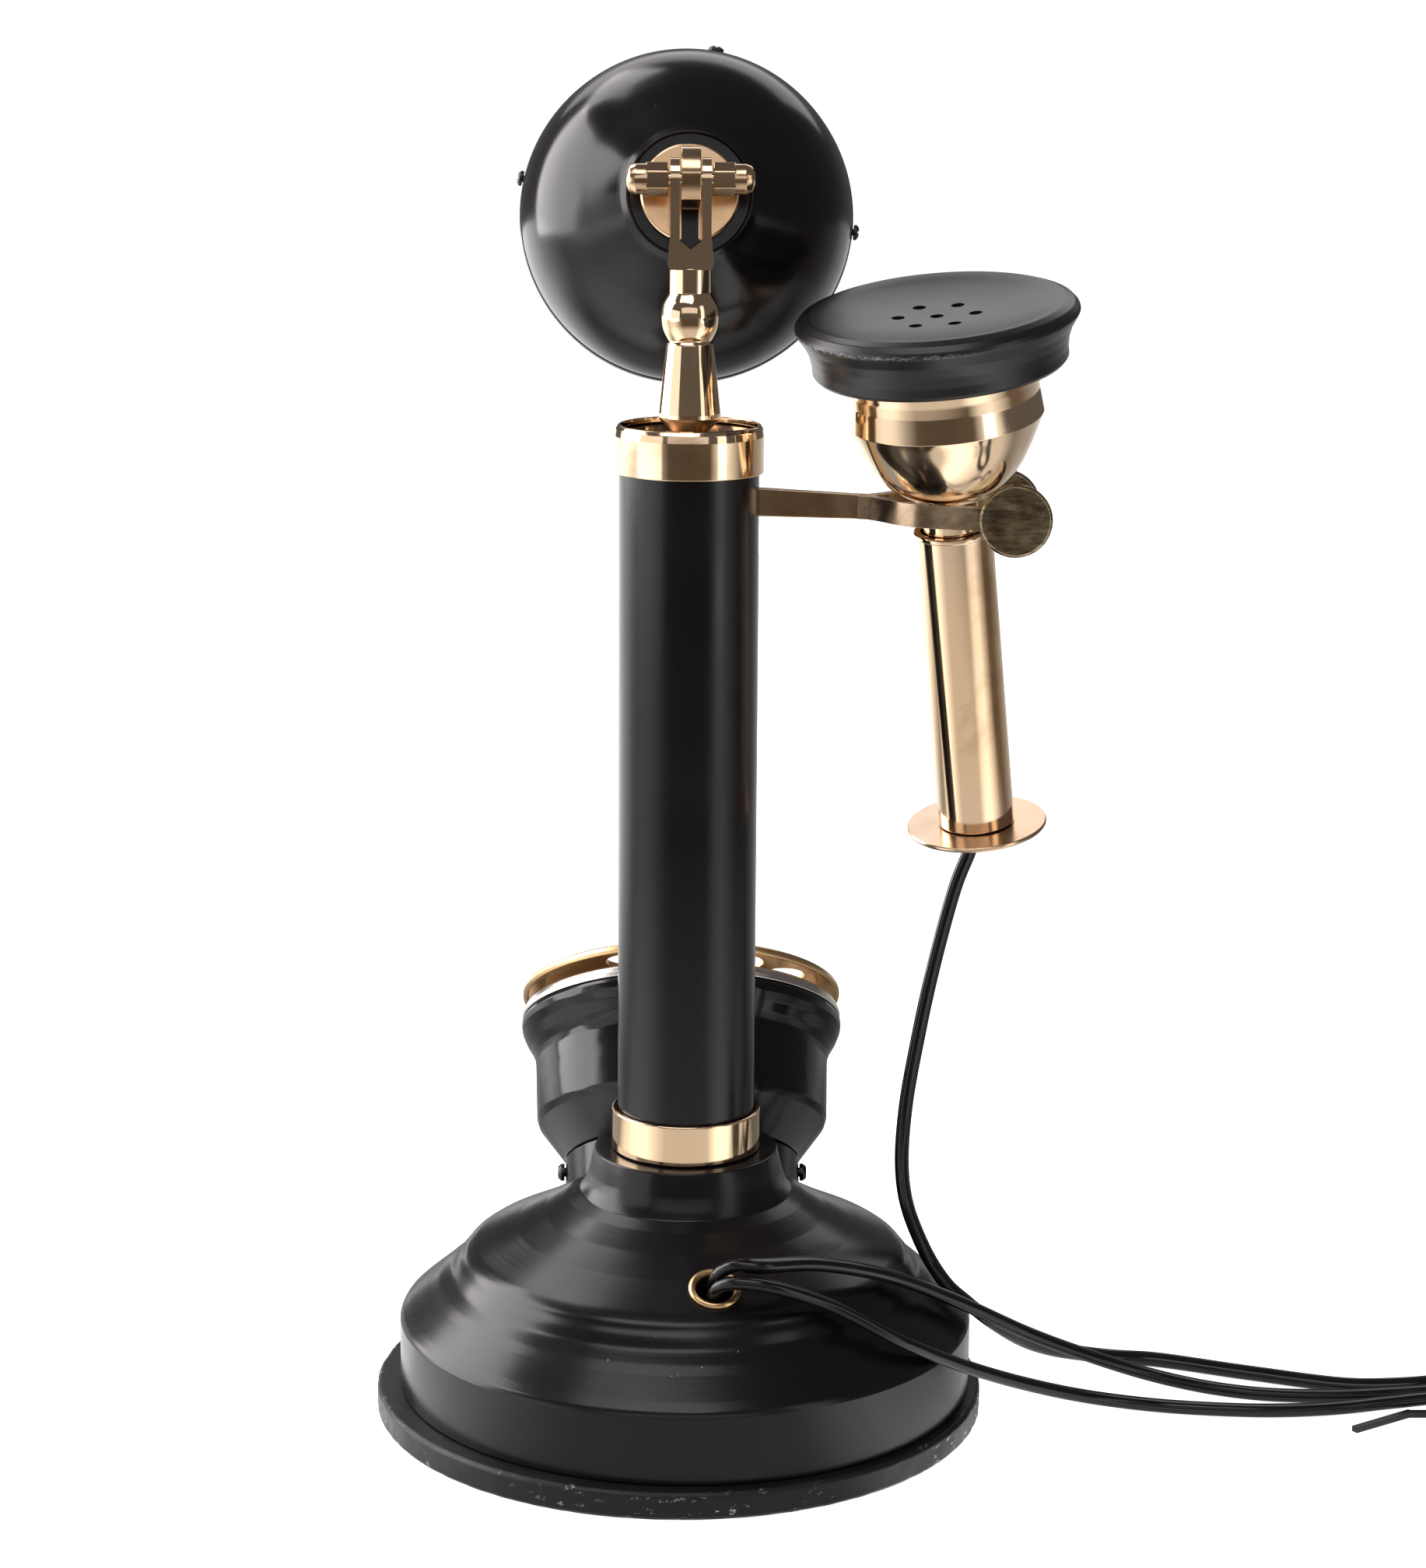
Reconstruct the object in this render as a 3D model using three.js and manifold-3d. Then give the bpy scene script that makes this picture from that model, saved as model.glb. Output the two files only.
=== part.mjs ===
// A candlestick telephone with a dial: a weighted round base, a column, a tilting transmitter on a
// clevis post, a receiver hung in a sprung fork, a dial in its own can, and two cords.
// Millimetres, +Z up. The origin is on the column's axis, at the underside of the base plate.
// The dial and the mouthpiece face -Y, and the receiver hangs on the -X side.
import * as THREE from "three";
import { mergeVertices } from "three/addons/utils/BufferGeometryUtils.js";
import Module from "manifold-3d";

const wasm = await Module();
wasm.setup();

// ---------------------------------------------------------------- driving dimensions
const GAP = 0.3; // between pieces that touch
const ROUND = 30; // facets of a large turned piece
const MEDIUM = 24; // facets of a middling one
const SMALL = 14; // facets of a small one
const UP = new THREE.Vector3(0, 0, 1);

const PLATE = { radius: 70, thickness: 6.3, offCentre: 1.4 };
const WALL = { radius: 66, top: 21.8, sheet: 1.6 };
const NECK_TOP = 61.7;
const BASE_SCREW = { circle: 56, head: 3.2, shank: 1.6, top: 14 };
const COLUMN = { radius: 15.65, bore: 14, bottom: 46, top: 225 };
const COLLAR = { radius: 17, bottom: 62, top: 71.35 };
const TOP_RING = { radius: 16.6, bottom: 218, top: 228.8 };
const HOOK_SLOT = { width: 4.4, bottom: 199.5, top: 217.5 };

const HOOK = { pivotX: 5, pivotZ: 212.2, droop: 2.4, thickness: 2.2, armStart: 6.3, armEnd: 5.5 };
const FORK = { root: -42.4, height: 5.2, discX: -76.6, discY: 12.5, discRadius: 8.15, disc: 2.4 };

const BOLT = { z: 282.5, radius: 1.5, tilt: 11 };
const CLEVIS = { half: 4.5, gap: 4.9, eye: 4.7, slotBottom: 267.4 };
const BOSS = { drop: 1.62, radius: 11, back: 9.5, front: 12 };
const CUP = { radius: 38.4, rim: 49 };
const RIM_SCREW = { angles: [13, 100, 185], depth: 52 };

const RECEIVER = { x: -58.64, z: 209.55, leanIn: 6.2, leanBack: 9.6 };

const DIAL = { y: -69.5, z: 78, tilt: 34, wheel: 39.2, bulge: 39.4, pedestal: 28.4, stop: -25 };
const HOLES = { count: 10, first: 27, pitch: 28, circle: 29.2, radius: 5.35 };
const GEAR = { teeth: 32, module: 1, low: -24, high: -22 };
const PINION_TEETH = 8;

const GROMMET = new THREE.Vector3(-5.7, 41.5, 41.7);
const CORD = { radius: 1.85, sides: 8 };
const TIE = { thickness: 0.8, width: 2 };
const COIL_FLOOR = 1.1; // the coils lie on their ties
const LINE_COIL = { x: -209, y: 37, inner: 16.4, outer: 27.6, height: 14.9 };
const RECEIVER_COIL = { x: -216, y: -42, inner: 18.3, outer: 25.8, height: 7.5 };

// ---------------------------------------------------------------- finishes
const FINISHES = {
  enamel: { color: 0x18161a, roughness: 0.3, metalness: 0.1 },
  brass: { color: 0xd9b774, roughness: 0.16, metalness: 1 },
  gilt: { color: 0xc8954a, roughness: 0.25, metalness: 1 },
  nickel: { color: 0xbdb4aa, roughness: 0.25, metalness: 1 },
  steel: { color: 0x8c8c8c, roughness: 0.4, metalness: 1 },
  ebonite: { color: 0x121214, roughness: 0.42, metalness: 0 },
  ivory: { color: 0xe8e2d0, roughness: 0.35, metalness: 0 },
  board: { color: 0x1d5a34, roughness: 0.6, metalness: 0 },
  cord: { color: 0x0f0e0f, roughness: 0.4, metalness: 0 },
  plug: { color: 0xd8d8d4, roughness: 0.2, metalness: 0 },
};

// ---------------------------------------------------------------- shape helpers
const radians = THREE.MathUtils.degToRad;

function turned(profile, segments = ROUND) {
  const area = profile.reduce((sum, [r, z], i) => {
    const [nextR, nextZ] = profile[(i + 1) % profile.length];
    return sum + r * nextZ - nextR * z;
  }, 0);
  const loop = area < 0 ? [...profile].reverse() : [...profile];
  const points = [...loop, loop[0]].map(([r, z]) => new THREE.Vector2(r, z));
  return new THREE.LatheGeometry(points, segments).rotateX(Math.PI / 2);
}

const rod = (radius, low, high, segments = SMALL) =>
  turned([[0, low], [radius, low], [radius, high], [0, high]], segments);

const tubeRing = (outer, inner, low, high, segments = ROUND) =>
  turned([[inner, low], [outer, low], [outer, high], [inner, high]], segments);

const block = (x, y, z, width, depth, height) =>
  new THREE.BoxGeometry(width, depth, height).translate(x, y, z);

// Turns a geometry made along +Z so that it runs along +X.
const alongX = (geometry) => geometry.rotateY(Math.PI / 2);

// Turns a geometry made along +Z so that it runs along -Y.
const alongFront = (geometry) => geometry.rotateX(Math.PI / 2);

function prism(outline, depth) {
  const shape = new THREE.Shape(outline.map(([x, y]) => new THREE.Vector2(x, y)));
  return new THREE.ExtrudeGeometry(shape, { depth, bevelEnabled: false, steps: 1 });
}

function solidOf(geometry) {
  const bare = geometry.clone();
  bare.deleteAttribute("normal");
  bare.deleteAttribute("uv");
  const merged = mergeVertices(bare, 1e-4);
  const mesh = new wasm.Mesh({
    numProp: 3,
    vertProperties: merged.getAttribute("position").array,
    triVerts: new Uint32Array(merged.index.array),
  });
  return new wasm.Manifold(mesh);
}

function geometryOf(solid) {
  const { vertProperties, triVerts } = solid.getMesh();
  const geometry = new THREE.BufferGeometry();
  geometry.setAttribute("position", new THREE.BufferAttribute(new Float32Array(vertProperties), 3));
  geometry.setIndex(new THREE.BufferAttribute(new Uint32Array(triVerts), 1));
  geometry.computeVertexNormals();
  return geometry;
}

const joined = (...parts) => geometryOf(parts.map(solidOf).reduce((a, b) => a.add(b)));

const cut = (body, ...tools) =>
  geometryOf(tools.map(solidOf).reduce((rest, tool) => rest.subtract(tool), solidOf(body)));

const telephone = new THREE.Group();

function add(name, finish, geometry, parent = telephone) {
  const material = new THREE.MeshStandardMaterial({ name: finish, ...FINISHES[finish] });
  const mesh = new THREE.Mesh(geometry, material);
  mesh.name = name;
  parent.add(mesh);
  return mesh;
}

function group(x, y, z, tiltX = 0) {
  const made = new THREE.Group();
  made.position.set(x, y, z);
  made.rotation.x = radians(tiltX);
  telephone.add(made);
  return made;
}

// ---------------------------------------------------------------- base
// The spun body from its wall up over the shoulder, the bead, the dome and the flared neck.
const BODY_OUTSIDE = [
  [WALL.radius, PLATE.thickness + GAP],
  [WALL.radius, WALL.top],
  [65.5, 22.9],
  [63.6, 24.6],
  [61.2, 26.6],
  [58.8, 28.6],
  [56.8, 30.4],
  [55.2, 31.6],
  [54.0, 32.5],
  [52.9, 34.2],
  [52.2, 35.2],
  [51.4, 36.0],
  [50.6, 37.3],
  [48.6, 38.7],
  [45.0, 40.4],
  [39.0, 43.3],
  [32.5, 46.8],
  [27.5, 50.0],
  [24.3, 51.7],
  [23.1, 53.6],
  [22.2, 56.4],
  [21.5, 59.6],
  [21.0, NECK_TOP],
];
const BODY_INSIDE = [
  [16.0, NECK_TOP],
  [16.0, NECK_TOP - WALL.sheet],
  [19.5, 60.1],
  [22.0, 51.2],
  [44.0, 38.9],
  [49.2, 36.2],
  [52.6, 31.4],
  [59.8, 25.6],
  [WALL.radius - WALL.sheet, 20.9],
  [WALL.radius - WALL.sheet, PLATE.thickness + GAP],
];

function makeBase() {
  const { radius, thickness, offCentre } = PLATE;
  const plate = turned([
    [0, 0], [radius - 0.8, 0], [radius, 0.8], [radius, thickness - 0.7],
    [radius - 0.7, thickness], [0, thickness],
  ], 36).translate(offCentre, 0, 0);
  const body = turned([...BODY_OUTSIDE, ...BODY_INSIDE]);
  const lugs = [];
  const plateHoles = [];
  const lugHoles = [];
  for (let i = 0; i < 3; i += 1) {
    const angle = radians(30 + 120 * i);
    const x = BASE_SCREW.circle * Math.cos(angle);
    const y = BASE_SCREW.circle * Math.sin(angle);
    lugs.push(block(58.4, 0, 11.2, 12.6, 9, 9.2).rotateZ(angle));
    plateHoles.push(rod(BASE_SCREW.shank + 0.4, 0, 10).translate(x, y, 0));
    plateHoles.push(rod(BASE_SCREW.head + 0.4, -1, 2.9).translate(x, y, 0));
    lugHoles.push(rod(BASE_SCREW.shank + 0.4, 0, 30).translate(x, y, 0));
    const screw = turned([
      [0, 0.6], [BASE_SCREW.head, 0.6], [BASE_SCREW.head, 2.6], [BASE_SCREW.shank, 2.6],
      [BASE_SCREW.shank, BASE_SCREW.top], [0, BASE_SCREW.top],
    ], 12);
    add(`base_screw_${i + 1}`, "steel", screw.translate(x, y, 0));
  }
  add("base_plate", "enamel", cut(plate, ...plateHoles));
  const cordHole = rod(4.9, -8, 8, 20).applyQuaternion(grommetTurn()).translate(...GROMMET);
  const wireHole = rod(6, 25, 60).translate(0, -42, 0);
  add("base_shell", "enamel", cut(joined(body, ...lugs), ...lugHoles, cordHole, wireHole));

  const eyelet = turned([
    [4.1, -3.2], [4.5, -3.2], [4.5, 0.4], [5.6, 0.4], [5.7, 0.8], [5.3, 1.4], [4.6, 1.5], [4.1, 0.9],
  ], 20);
  add("cord_grommet", "brass", eyelet.applyQuaternion(grommetTurn()).translate(...GROMMET));
  add("circuit_board", "board", block(4, 20, 7.5, 46, 30, 1.6));
}

// The dome's outward direction where the cords come out.
const DOME_NORMAL = new THREE.Vector3(-0.062, 0.452, 0.89).normalize();

function grommetTurn() {
  return new THREE.Quaternion().setFromUnitVectors(UP, DOME_NORMAL);
}

// ---------------------------------------------------------------- column
function makeColumn() {
  const slotHeight = HOOK_SLOT.top - HOOK_SLOT.bottom;
  const slotMiddle = (HOOK_SLOT.top + HOOK_SLOT.bottom) / 2;
  const tube = tubeRing(COLUMN.radius, COLUMN.bore, COLUMN.bottom, COLUMN.top);
  const slot = block(-COLUMN.radius, 0, slotMiddle, 6, HOOK_SLOT.width, slotHeight);
  add("column_tube", "enamel", cut(tube, slot));

  const bore = COLUMN.radius + GAP;
  add("lower_collar", "brass", tubeRing(COLLAR.radius, bore, COLLAR.bottom, COLLAR.top));
  add("top_ring", "brass", turned([
    [bore, TOP_RING.bottom], [TOP_RING.radius, TOP_RING.bottom], [TOP_RING.radius, 226.2],
    [16.35, 227.8], [15.85, 228.6], [15.3, TOP_RING.top], [15.2, 227.5], [bore, 225.6],
  ]));
  add("top_cap", "enamel", turned([
    [3.2, 227], [14.8, 227], [14.8, 225.4], [13.6, 225.4], [13.6, 221], [11.6, 221], [11.6, 225.4],
    [3.2, 225.4],
  ], MEDIUM));
}

// ---------------------------------------------------------------- transmitter post and its hinge
function makePost() {
  const turnedPost = turned([
    [0, 219], [2.9, 219], [2.9, 227.3], [4.4, 227.3], [6.9, 230], [6.9, 231.2], [5.2, 246.6], [4.7, 247.2],
    [5.6, 248.6], [6.35, 251], [6.35, 254], [5.4, 256.6], [4.7, 257.6], [4.7, 263.2], [0, 265],
  ], 24);
  // The fork that holds the transmitter: a block with two tapers and a slot through its top.
  const depthwise = [[-4.6, 263], [4.6, 263], [4.3, 270], [4.3, BOLT.z]];
  for (let i = 1; i < 12; i += 1) {
    const angle = (Math.PI * i) / 12;
    depthwise.push([4.3 * Math.cos(angle), BOLT.z + CLEVIS.eye * Math.sin(angle)]);
  }
  depthwise.push([-4.3, BOLT.z], [-4.3, 270]);
  const acrossSlab = prism(depthwise, 14).translate(0, 0, -7).rotateX(Math.PI / 2).rotateZ(Math.PI / 2);
  const widthwise = [[-4.6, 262.9], [4.6, 262.9], [5.1, 264.3], [CLEVIS.half, 271], [CLEVIS.half, 290],
    [-CLEVIS.half, 290], [-CLEVIS.half, 271], [-5.1, 264.3]];
  const alongSlab = prism(widthwise, 14).translate(0, 0, -7).rotateX(Math.PI / 2);
  const fork = geometryOf(solidOf(acrossSlab).intersect(solidOf(alongSlab)));
  const half = CLEVIS.gap / 2;
  const slot = prism([[-half, 269.3], [0, CLEVIS.slotBottom], [half, 269.3], [half, 300], [-half, 300]], 20);
  slot.translate(0, 0, -10).rotateX(Math.PI / 2);
  const eye = alongX(rod(BOLT.radius + GAP, -10, 10)).translate(0, 0, BOLT.z);
  add("transmitter_post", "brass", cut(joined(turnedPost, fork), slot, eye));

  const bolt = alongX(rod(BOLT.radius, -12, 12, 12)).translate(0, 0, BOLT.z);
  add("hinge_bolt", "brass", bolt);
  const inner = CLEVIS.half + GAP;
  const hex = rod(3.8, inner, 9.9, 6);
  const dome = turned([[0, 9.7], [3.4, 9.7], [3.4, 12.1], [2.9, 13.5], [1.6, 14.1], [0, 14.2]], 12);
  const bore = rod(BOLT.radius + GAP, 0, 12.4, 12);
  for (const [name, side] of [["acorn_nut_left", 1], ["acorn_nut_right", -1]]) {
    const nut = alongX(cut(joined(hex.clone(), dome.clone()), bore.clone()));
    if (side < 0) nut.rotateZ(Math.PI);
    add(name, "brass", nut.translate(0, 0, BOLT.z));
  }
}

// ---------------------------------------------------------------- transmitter
// Its own frame has the hinge bolt along X through the origin, and the mouthpiece towards -Y.
function makeTransmitter() {
  const head = group(0, 0, BOLT.z, BOLT.tilt);
  const onAxis = (geometry) => alongFront(geometry).translate(0, 0, -BOSS.drop);

  const tongue = [[-BOSS.back - 1, -5.2], [4.6, -5.2], [6.4, -3.2]];
  for (let i = 0; i <= 8; i += 1) {
    const angle = (Math.PI * i) / 16;
    tongue.push([7.2 * Math.cos(angle), 7.2 * Math.sin(angle)]);
  }
  tongue.push([-BOSS.back - 1, 7.2]);
  const tongueHalf = CLEVIS.gap / 2 - GAP;
  const tongueSlab = prism(tongue, tongueHalf * 2).translate(0, 0, -tongueHalf);
  tongueSlab.rotateX(Math.PI / 2).rotateZ(Math.PI / 2);
  const disc = onAxis(rod(BOSS.radius, BOSS.back, BOSS.front, 28));
  const stem = onAxis(rod(3, BOSS.front - 0.5, 18));
  const eye = alongX(rod(BOLT.radius + GAP, -6, 6));
  const notch = block(0, -BOSS.back, -10, 3.8, 8, 9.2);
  add("transmitter_lug", "brass", cut(joined(tongueSlab, disc, stem), eye, notch), head);

  add("transmitter_back", "enamel", onAxis(turned([
    [3.4, BOSS.front + GAP], [13.4, BOSS.front + GAP], [13.8, 11.2], [15.2, 12.6], [18, 16.2], [21.9, 19.4],
    [26.6, 22.6], [31, 27], [34.6, 33], [37, 40], [CUP.radius - 0.2, 46], [CUP.radius, CUP.rim],
    [CUP.radius - 1.4, CUP.rim], [35.6, 40.6], [33.2, 33.8], [28, 26.2], [16.6, 17.6], [13.8, 14], [3.4, 14],
  ])), head);
  const bezel = turned([
    [36.4, CUP.rim + GAP], [CUP.radius + 0.2, CUP.rim + GAP], [CUP.radius + 0.4, CUP.rim + 1.2],
    [CUP.radius + 0.2, 54.4], [37.4, 55.4], [34, 55.4], [34, 54.4], [36.4, 54.2],
  ]);
  const rimHoles = [];
  RIM_SCREW.angles.forEach((angle, i) => {
    const place = (geometry) => alongX(geometry).rotateZ(radians(angle)).translate(0, 0, RIM_SCREW.depth);
    rimHoles.push(place(rod(1.1, 34, 42, 12)));
    const screw = place(turned([
      [0, 35.4], [0.8, 35.4], [0.8, 39.1], [1.8, 39.1], [1.8, 39.8], [1.1, 40.3], [0, 40.3],
    ], 12));
    add(`rim_screw_${i + 1}`, "ebonite", onAxis(screw), head);
  });
  add("transmitter_bezel", "enamel", onAxis(cut(bezel, ...rimHoles)), head);
  add("transmitter_face", "enamel", onAxis(turned([
    [9.6, 57.2], [9.6, 58.8], [20, 58.6], [33.6, 56.4], [33.6, 54], [33, 52.4], [31, 52.4], [31, 55.2],
    [20, 57],
  ], MEDIUM)), head);
  add("mouthpiece_horn", "ebonite", onAxis(turned([
    [9.2, 53], [9.2, 59.2], [11, 59.2], [10.4, 63], [10.8, 68], [13, 74], [17, 80], [22.6, 84.6],
    [24.2, 86.6], [23.8, 87.6], [21.6, 86.4], [15.4, 80.6], [11, 74.4], [8.6, 68], [8, 62], [8, 56],
    [6.4, 56], [6.4, 53],
  ], MEDIUM)), head);
  const grilleHoles = [rod(0.9, 50, 60, 8)];
  for (let i = 0; i < 6; i += 1) {
    grilleHoles.push(rod(0.9, 50, 60, 8).translate(4.4, 0, 0).rotateZ(radians(60 * i)));
  }
  add("mouthpiece_grille", "brass", onAxis(cut(rod(7.6, 56.3, 57.2, 20), ...grilleHoles)), head);
  add("transmitter_capsule", "steel", onAxis(turned([
    [0, 38], [24, 38], [25, 39], [25, 48],
    [22, 50.6], [0, 50.6],
  ], SMALL)), head);
}

// ---------------------------------------------------------------- hook
function makeHook() {
  const hook = group(HOOK.pivotX, 0, HOOK.pivotZ);
  hook.rotation.y = radians(-HOOK.droop);
  const [start, end] = [HOOK.armStart / 2, HOOK.armEnd / 2];
  const tip = FORK.root + GAP;
  const side = [[tip, -end], [-21, -start], [6, -start], [6, start], [-21, start], [tip, end]];
  const arm = prism(side, HOOK.thickness).translate(0, 0, -HOOK.thickness / 2).rotateX(Math.PI / 2);
  const pinHole = alongFront(rod(1.5, -10, 10));
  add("hook_arm", "brass", cut(arm, pinHole), hook);

  // One prong's middle line in plan, from the root out past the receiver.
  const line = new THREE.CatmullRomCurve3([
    [-45.5, 1.4], [-48.6, 4.6], [-51.6, 8.2], [-55.6, 10.7], [-60.5, 11.4], [-66, 11.5], [-70.6, 12.3],
  ].map(([x, y]) => new THREE.Vector3(x, y, 0)));
  const middle = line.getPoints(10);
  const half = HOOK.thickness / 2;
  const edge = (side) => middle.map((p, i) => {
    const tangent = line.getTangent(i / 10);
    return [p.x - side * half * tangent.y, p.y + side * half * tangent.x];
  });
  const prongOutline = [...edge(1), ...edge(-1).reverse()];
  const prong = prism(prongOutline, FORK.height).translate(0, 0, -FORK.height / 2);
  const mirrored = prism(prongOutline.map(([x, y]) => [x, -y]).reverse(), FORK.height)
    .translate(0, 0, -FORK.height / 2);
  const root = block(FORK.root - 2.1, 0, 0, 4.2, 4.6, FORK.height);
  const pieces = [root, prong, mirrored];
  for (const side of [-1, 1]) {
    const disc = turned([
      [0, -1.2], [7.6, -1.2], [FORK.discRadius, -0.7], [FORK.discRadius, 0.7], [7.6, 1.2], [0, 1.2],
    ], 24);
    pieces.push(alongFront(disc).translate(FORK.discX, side * FORK.discY, 0));
  }
  add("hook_fork", "brass", joined(...pieces), hook);

  const cheek = (y) => block(HOOK.pivotX + 3.3, y, HOOK.pivotZ, 9, 1, 12);
  const back = block(HOOK.pivotX + 7.2, 0, HOOK.pivotZ, 1.2, 6.2, 12);
  const pinWay = alongFront(rod(1.5, -10, 10)).translate(HOOK.pivotX, 0, HOOK.pivotZ);
  add("hook_bracket", "steel", cut(joined(cheek(2.6), cheek(-2.6), back), pinWay));
  const pin = alongFront(rod(1.2, -4, 4, 12)).translate(HOOK.pivotX, 0, HOOK.pivotZ);
  add("hook_pivot_pin", "steel", pin);
  add("switch_block", "ebonite", block(8.6, 0, 186, 5, 10, 16));
  const blades = [-3, 0, 3].map((y) => block(5.1, y, 191, 0.9, 1.8, 22));
  add("switch_blades", "brass", joined(block(5.1, 0, 184, 0.9, 7.8, 4), ...blades));
}

// ---------------------------------------------------------------- receiver
// Its own frame has its axis along Z, with the fork at the origin and the ear cap above.
function receiverAxis() {
  const x = Math.sin(radians(RECEIVER.leanIn));
  const y = Math.sin(radians(RECEIVER.leanBack));
  return new THREE.Vector3(x, y, Math.sqrt(1 - x * x - y * y));
}

const EAR_CAP = [
  [0, 44.8], [8, 44.9], [16, 45.4], [22.5, 46.3], [26, 47], [28.2, 47.2], [30.2, 46.4], [31.2, 45.2],
  [31.4, 44.3], [30.9, 43.4], [29.5, 41.2], [28.6, 38.8], [28.2, 36.4], [28.2, 34.4], [27.4, 33.5],
  [25.9, 33.4], [25.9, 41.5], [0, 42.2],
];

const RECEIVER_CUP = [
  [24.9, 40.5], [24.9, 34.2], [21.7, 33.6], [21.5, 30], [21.9, 22.2], [21.2, 20.1], [18.6, 14.8],
  [15.2, 9.3], [12.3, 6], [9.5, 4.6], [8.7, 3.8], [8.7, 0.4], [6.9, 0], [6.9, -12], [5.6, -12],
  [5.6, 4.6], [10.6, 7.6], [19, 19.2], [20.2, 34], [23.6, 36], [23.6, 40.5],
];

function makeReceiver() {
  const receiver = group(RECEIVER.x, 0, RECEIVER.z);
  receiver.quaternion.setFromUnitVectors(UP, receiverAxis());
  const holes = [rod(1.5, 38, 50, 10)];
  for (let i = 0; i < 6; i += 1) {
    const angle = radians(60 * i - 8);
    holes.push(rod(1.5, 38, 50, 10).translate(8.5 * Math.cos(angle), 8.5 * Math.sin(angle), 0));
  }
  add("ear_cap", "ebonite", cut(turned(EAR_CAP, MEDIUM), ...holes), receiver);
  add("receiver_magnet", "steel", turned([[0, 24], [14, 24], [14, 33], [9, 38], [0, 38]], SMALL), receiver);
  add("receiver_cup", "brass", turned(RECEIVER_CUP, MEDIUM), receiver);
  add("receiver_tube", "brass", turned([
    [7.4, -75.2], [8.7, -75.2], [8.7, -5.4], [9, -5.2], [9, -4.4], [8.6, -4.2], [7.4, -4.2],
  ], 24), receiver);
  add("receiver_flange", "brass", turned([
    [2.2, -76.6], [15.8, -76.6], [16.1, -76.1], [15.8, -75.5], [2.2, -75.5],
  ], MEDIUM), receiver);
}

// ---------------------------------------------------------------- dial
// Its own frame has the dial's axis along Z towards the caller, and the finger wheel's back at z 0.
function gearOutline(teeth) {
  const pitchRadius = (teeth * GEAR.module) / 2;
  const tip = pitchRadius + 0.5;
  const root = pitchRadius - 0.9;
  const outline = [];
  for (let i = 0; i < teeth; i += 1) {
    const middle = (2 * Math.PI * i) / teeth;
    const step = (2 * Math.PI) / teeth;
    for (const [share, radius] of [[-0.24, root], [-0.1, tip], [0.1, tip], [0.24, root]]) {
      outline.push([radius * Math.cos(middle + share * step), radius * Math.sin(middle + share * step)]);
    }
  }
  return outline;
}

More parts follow.
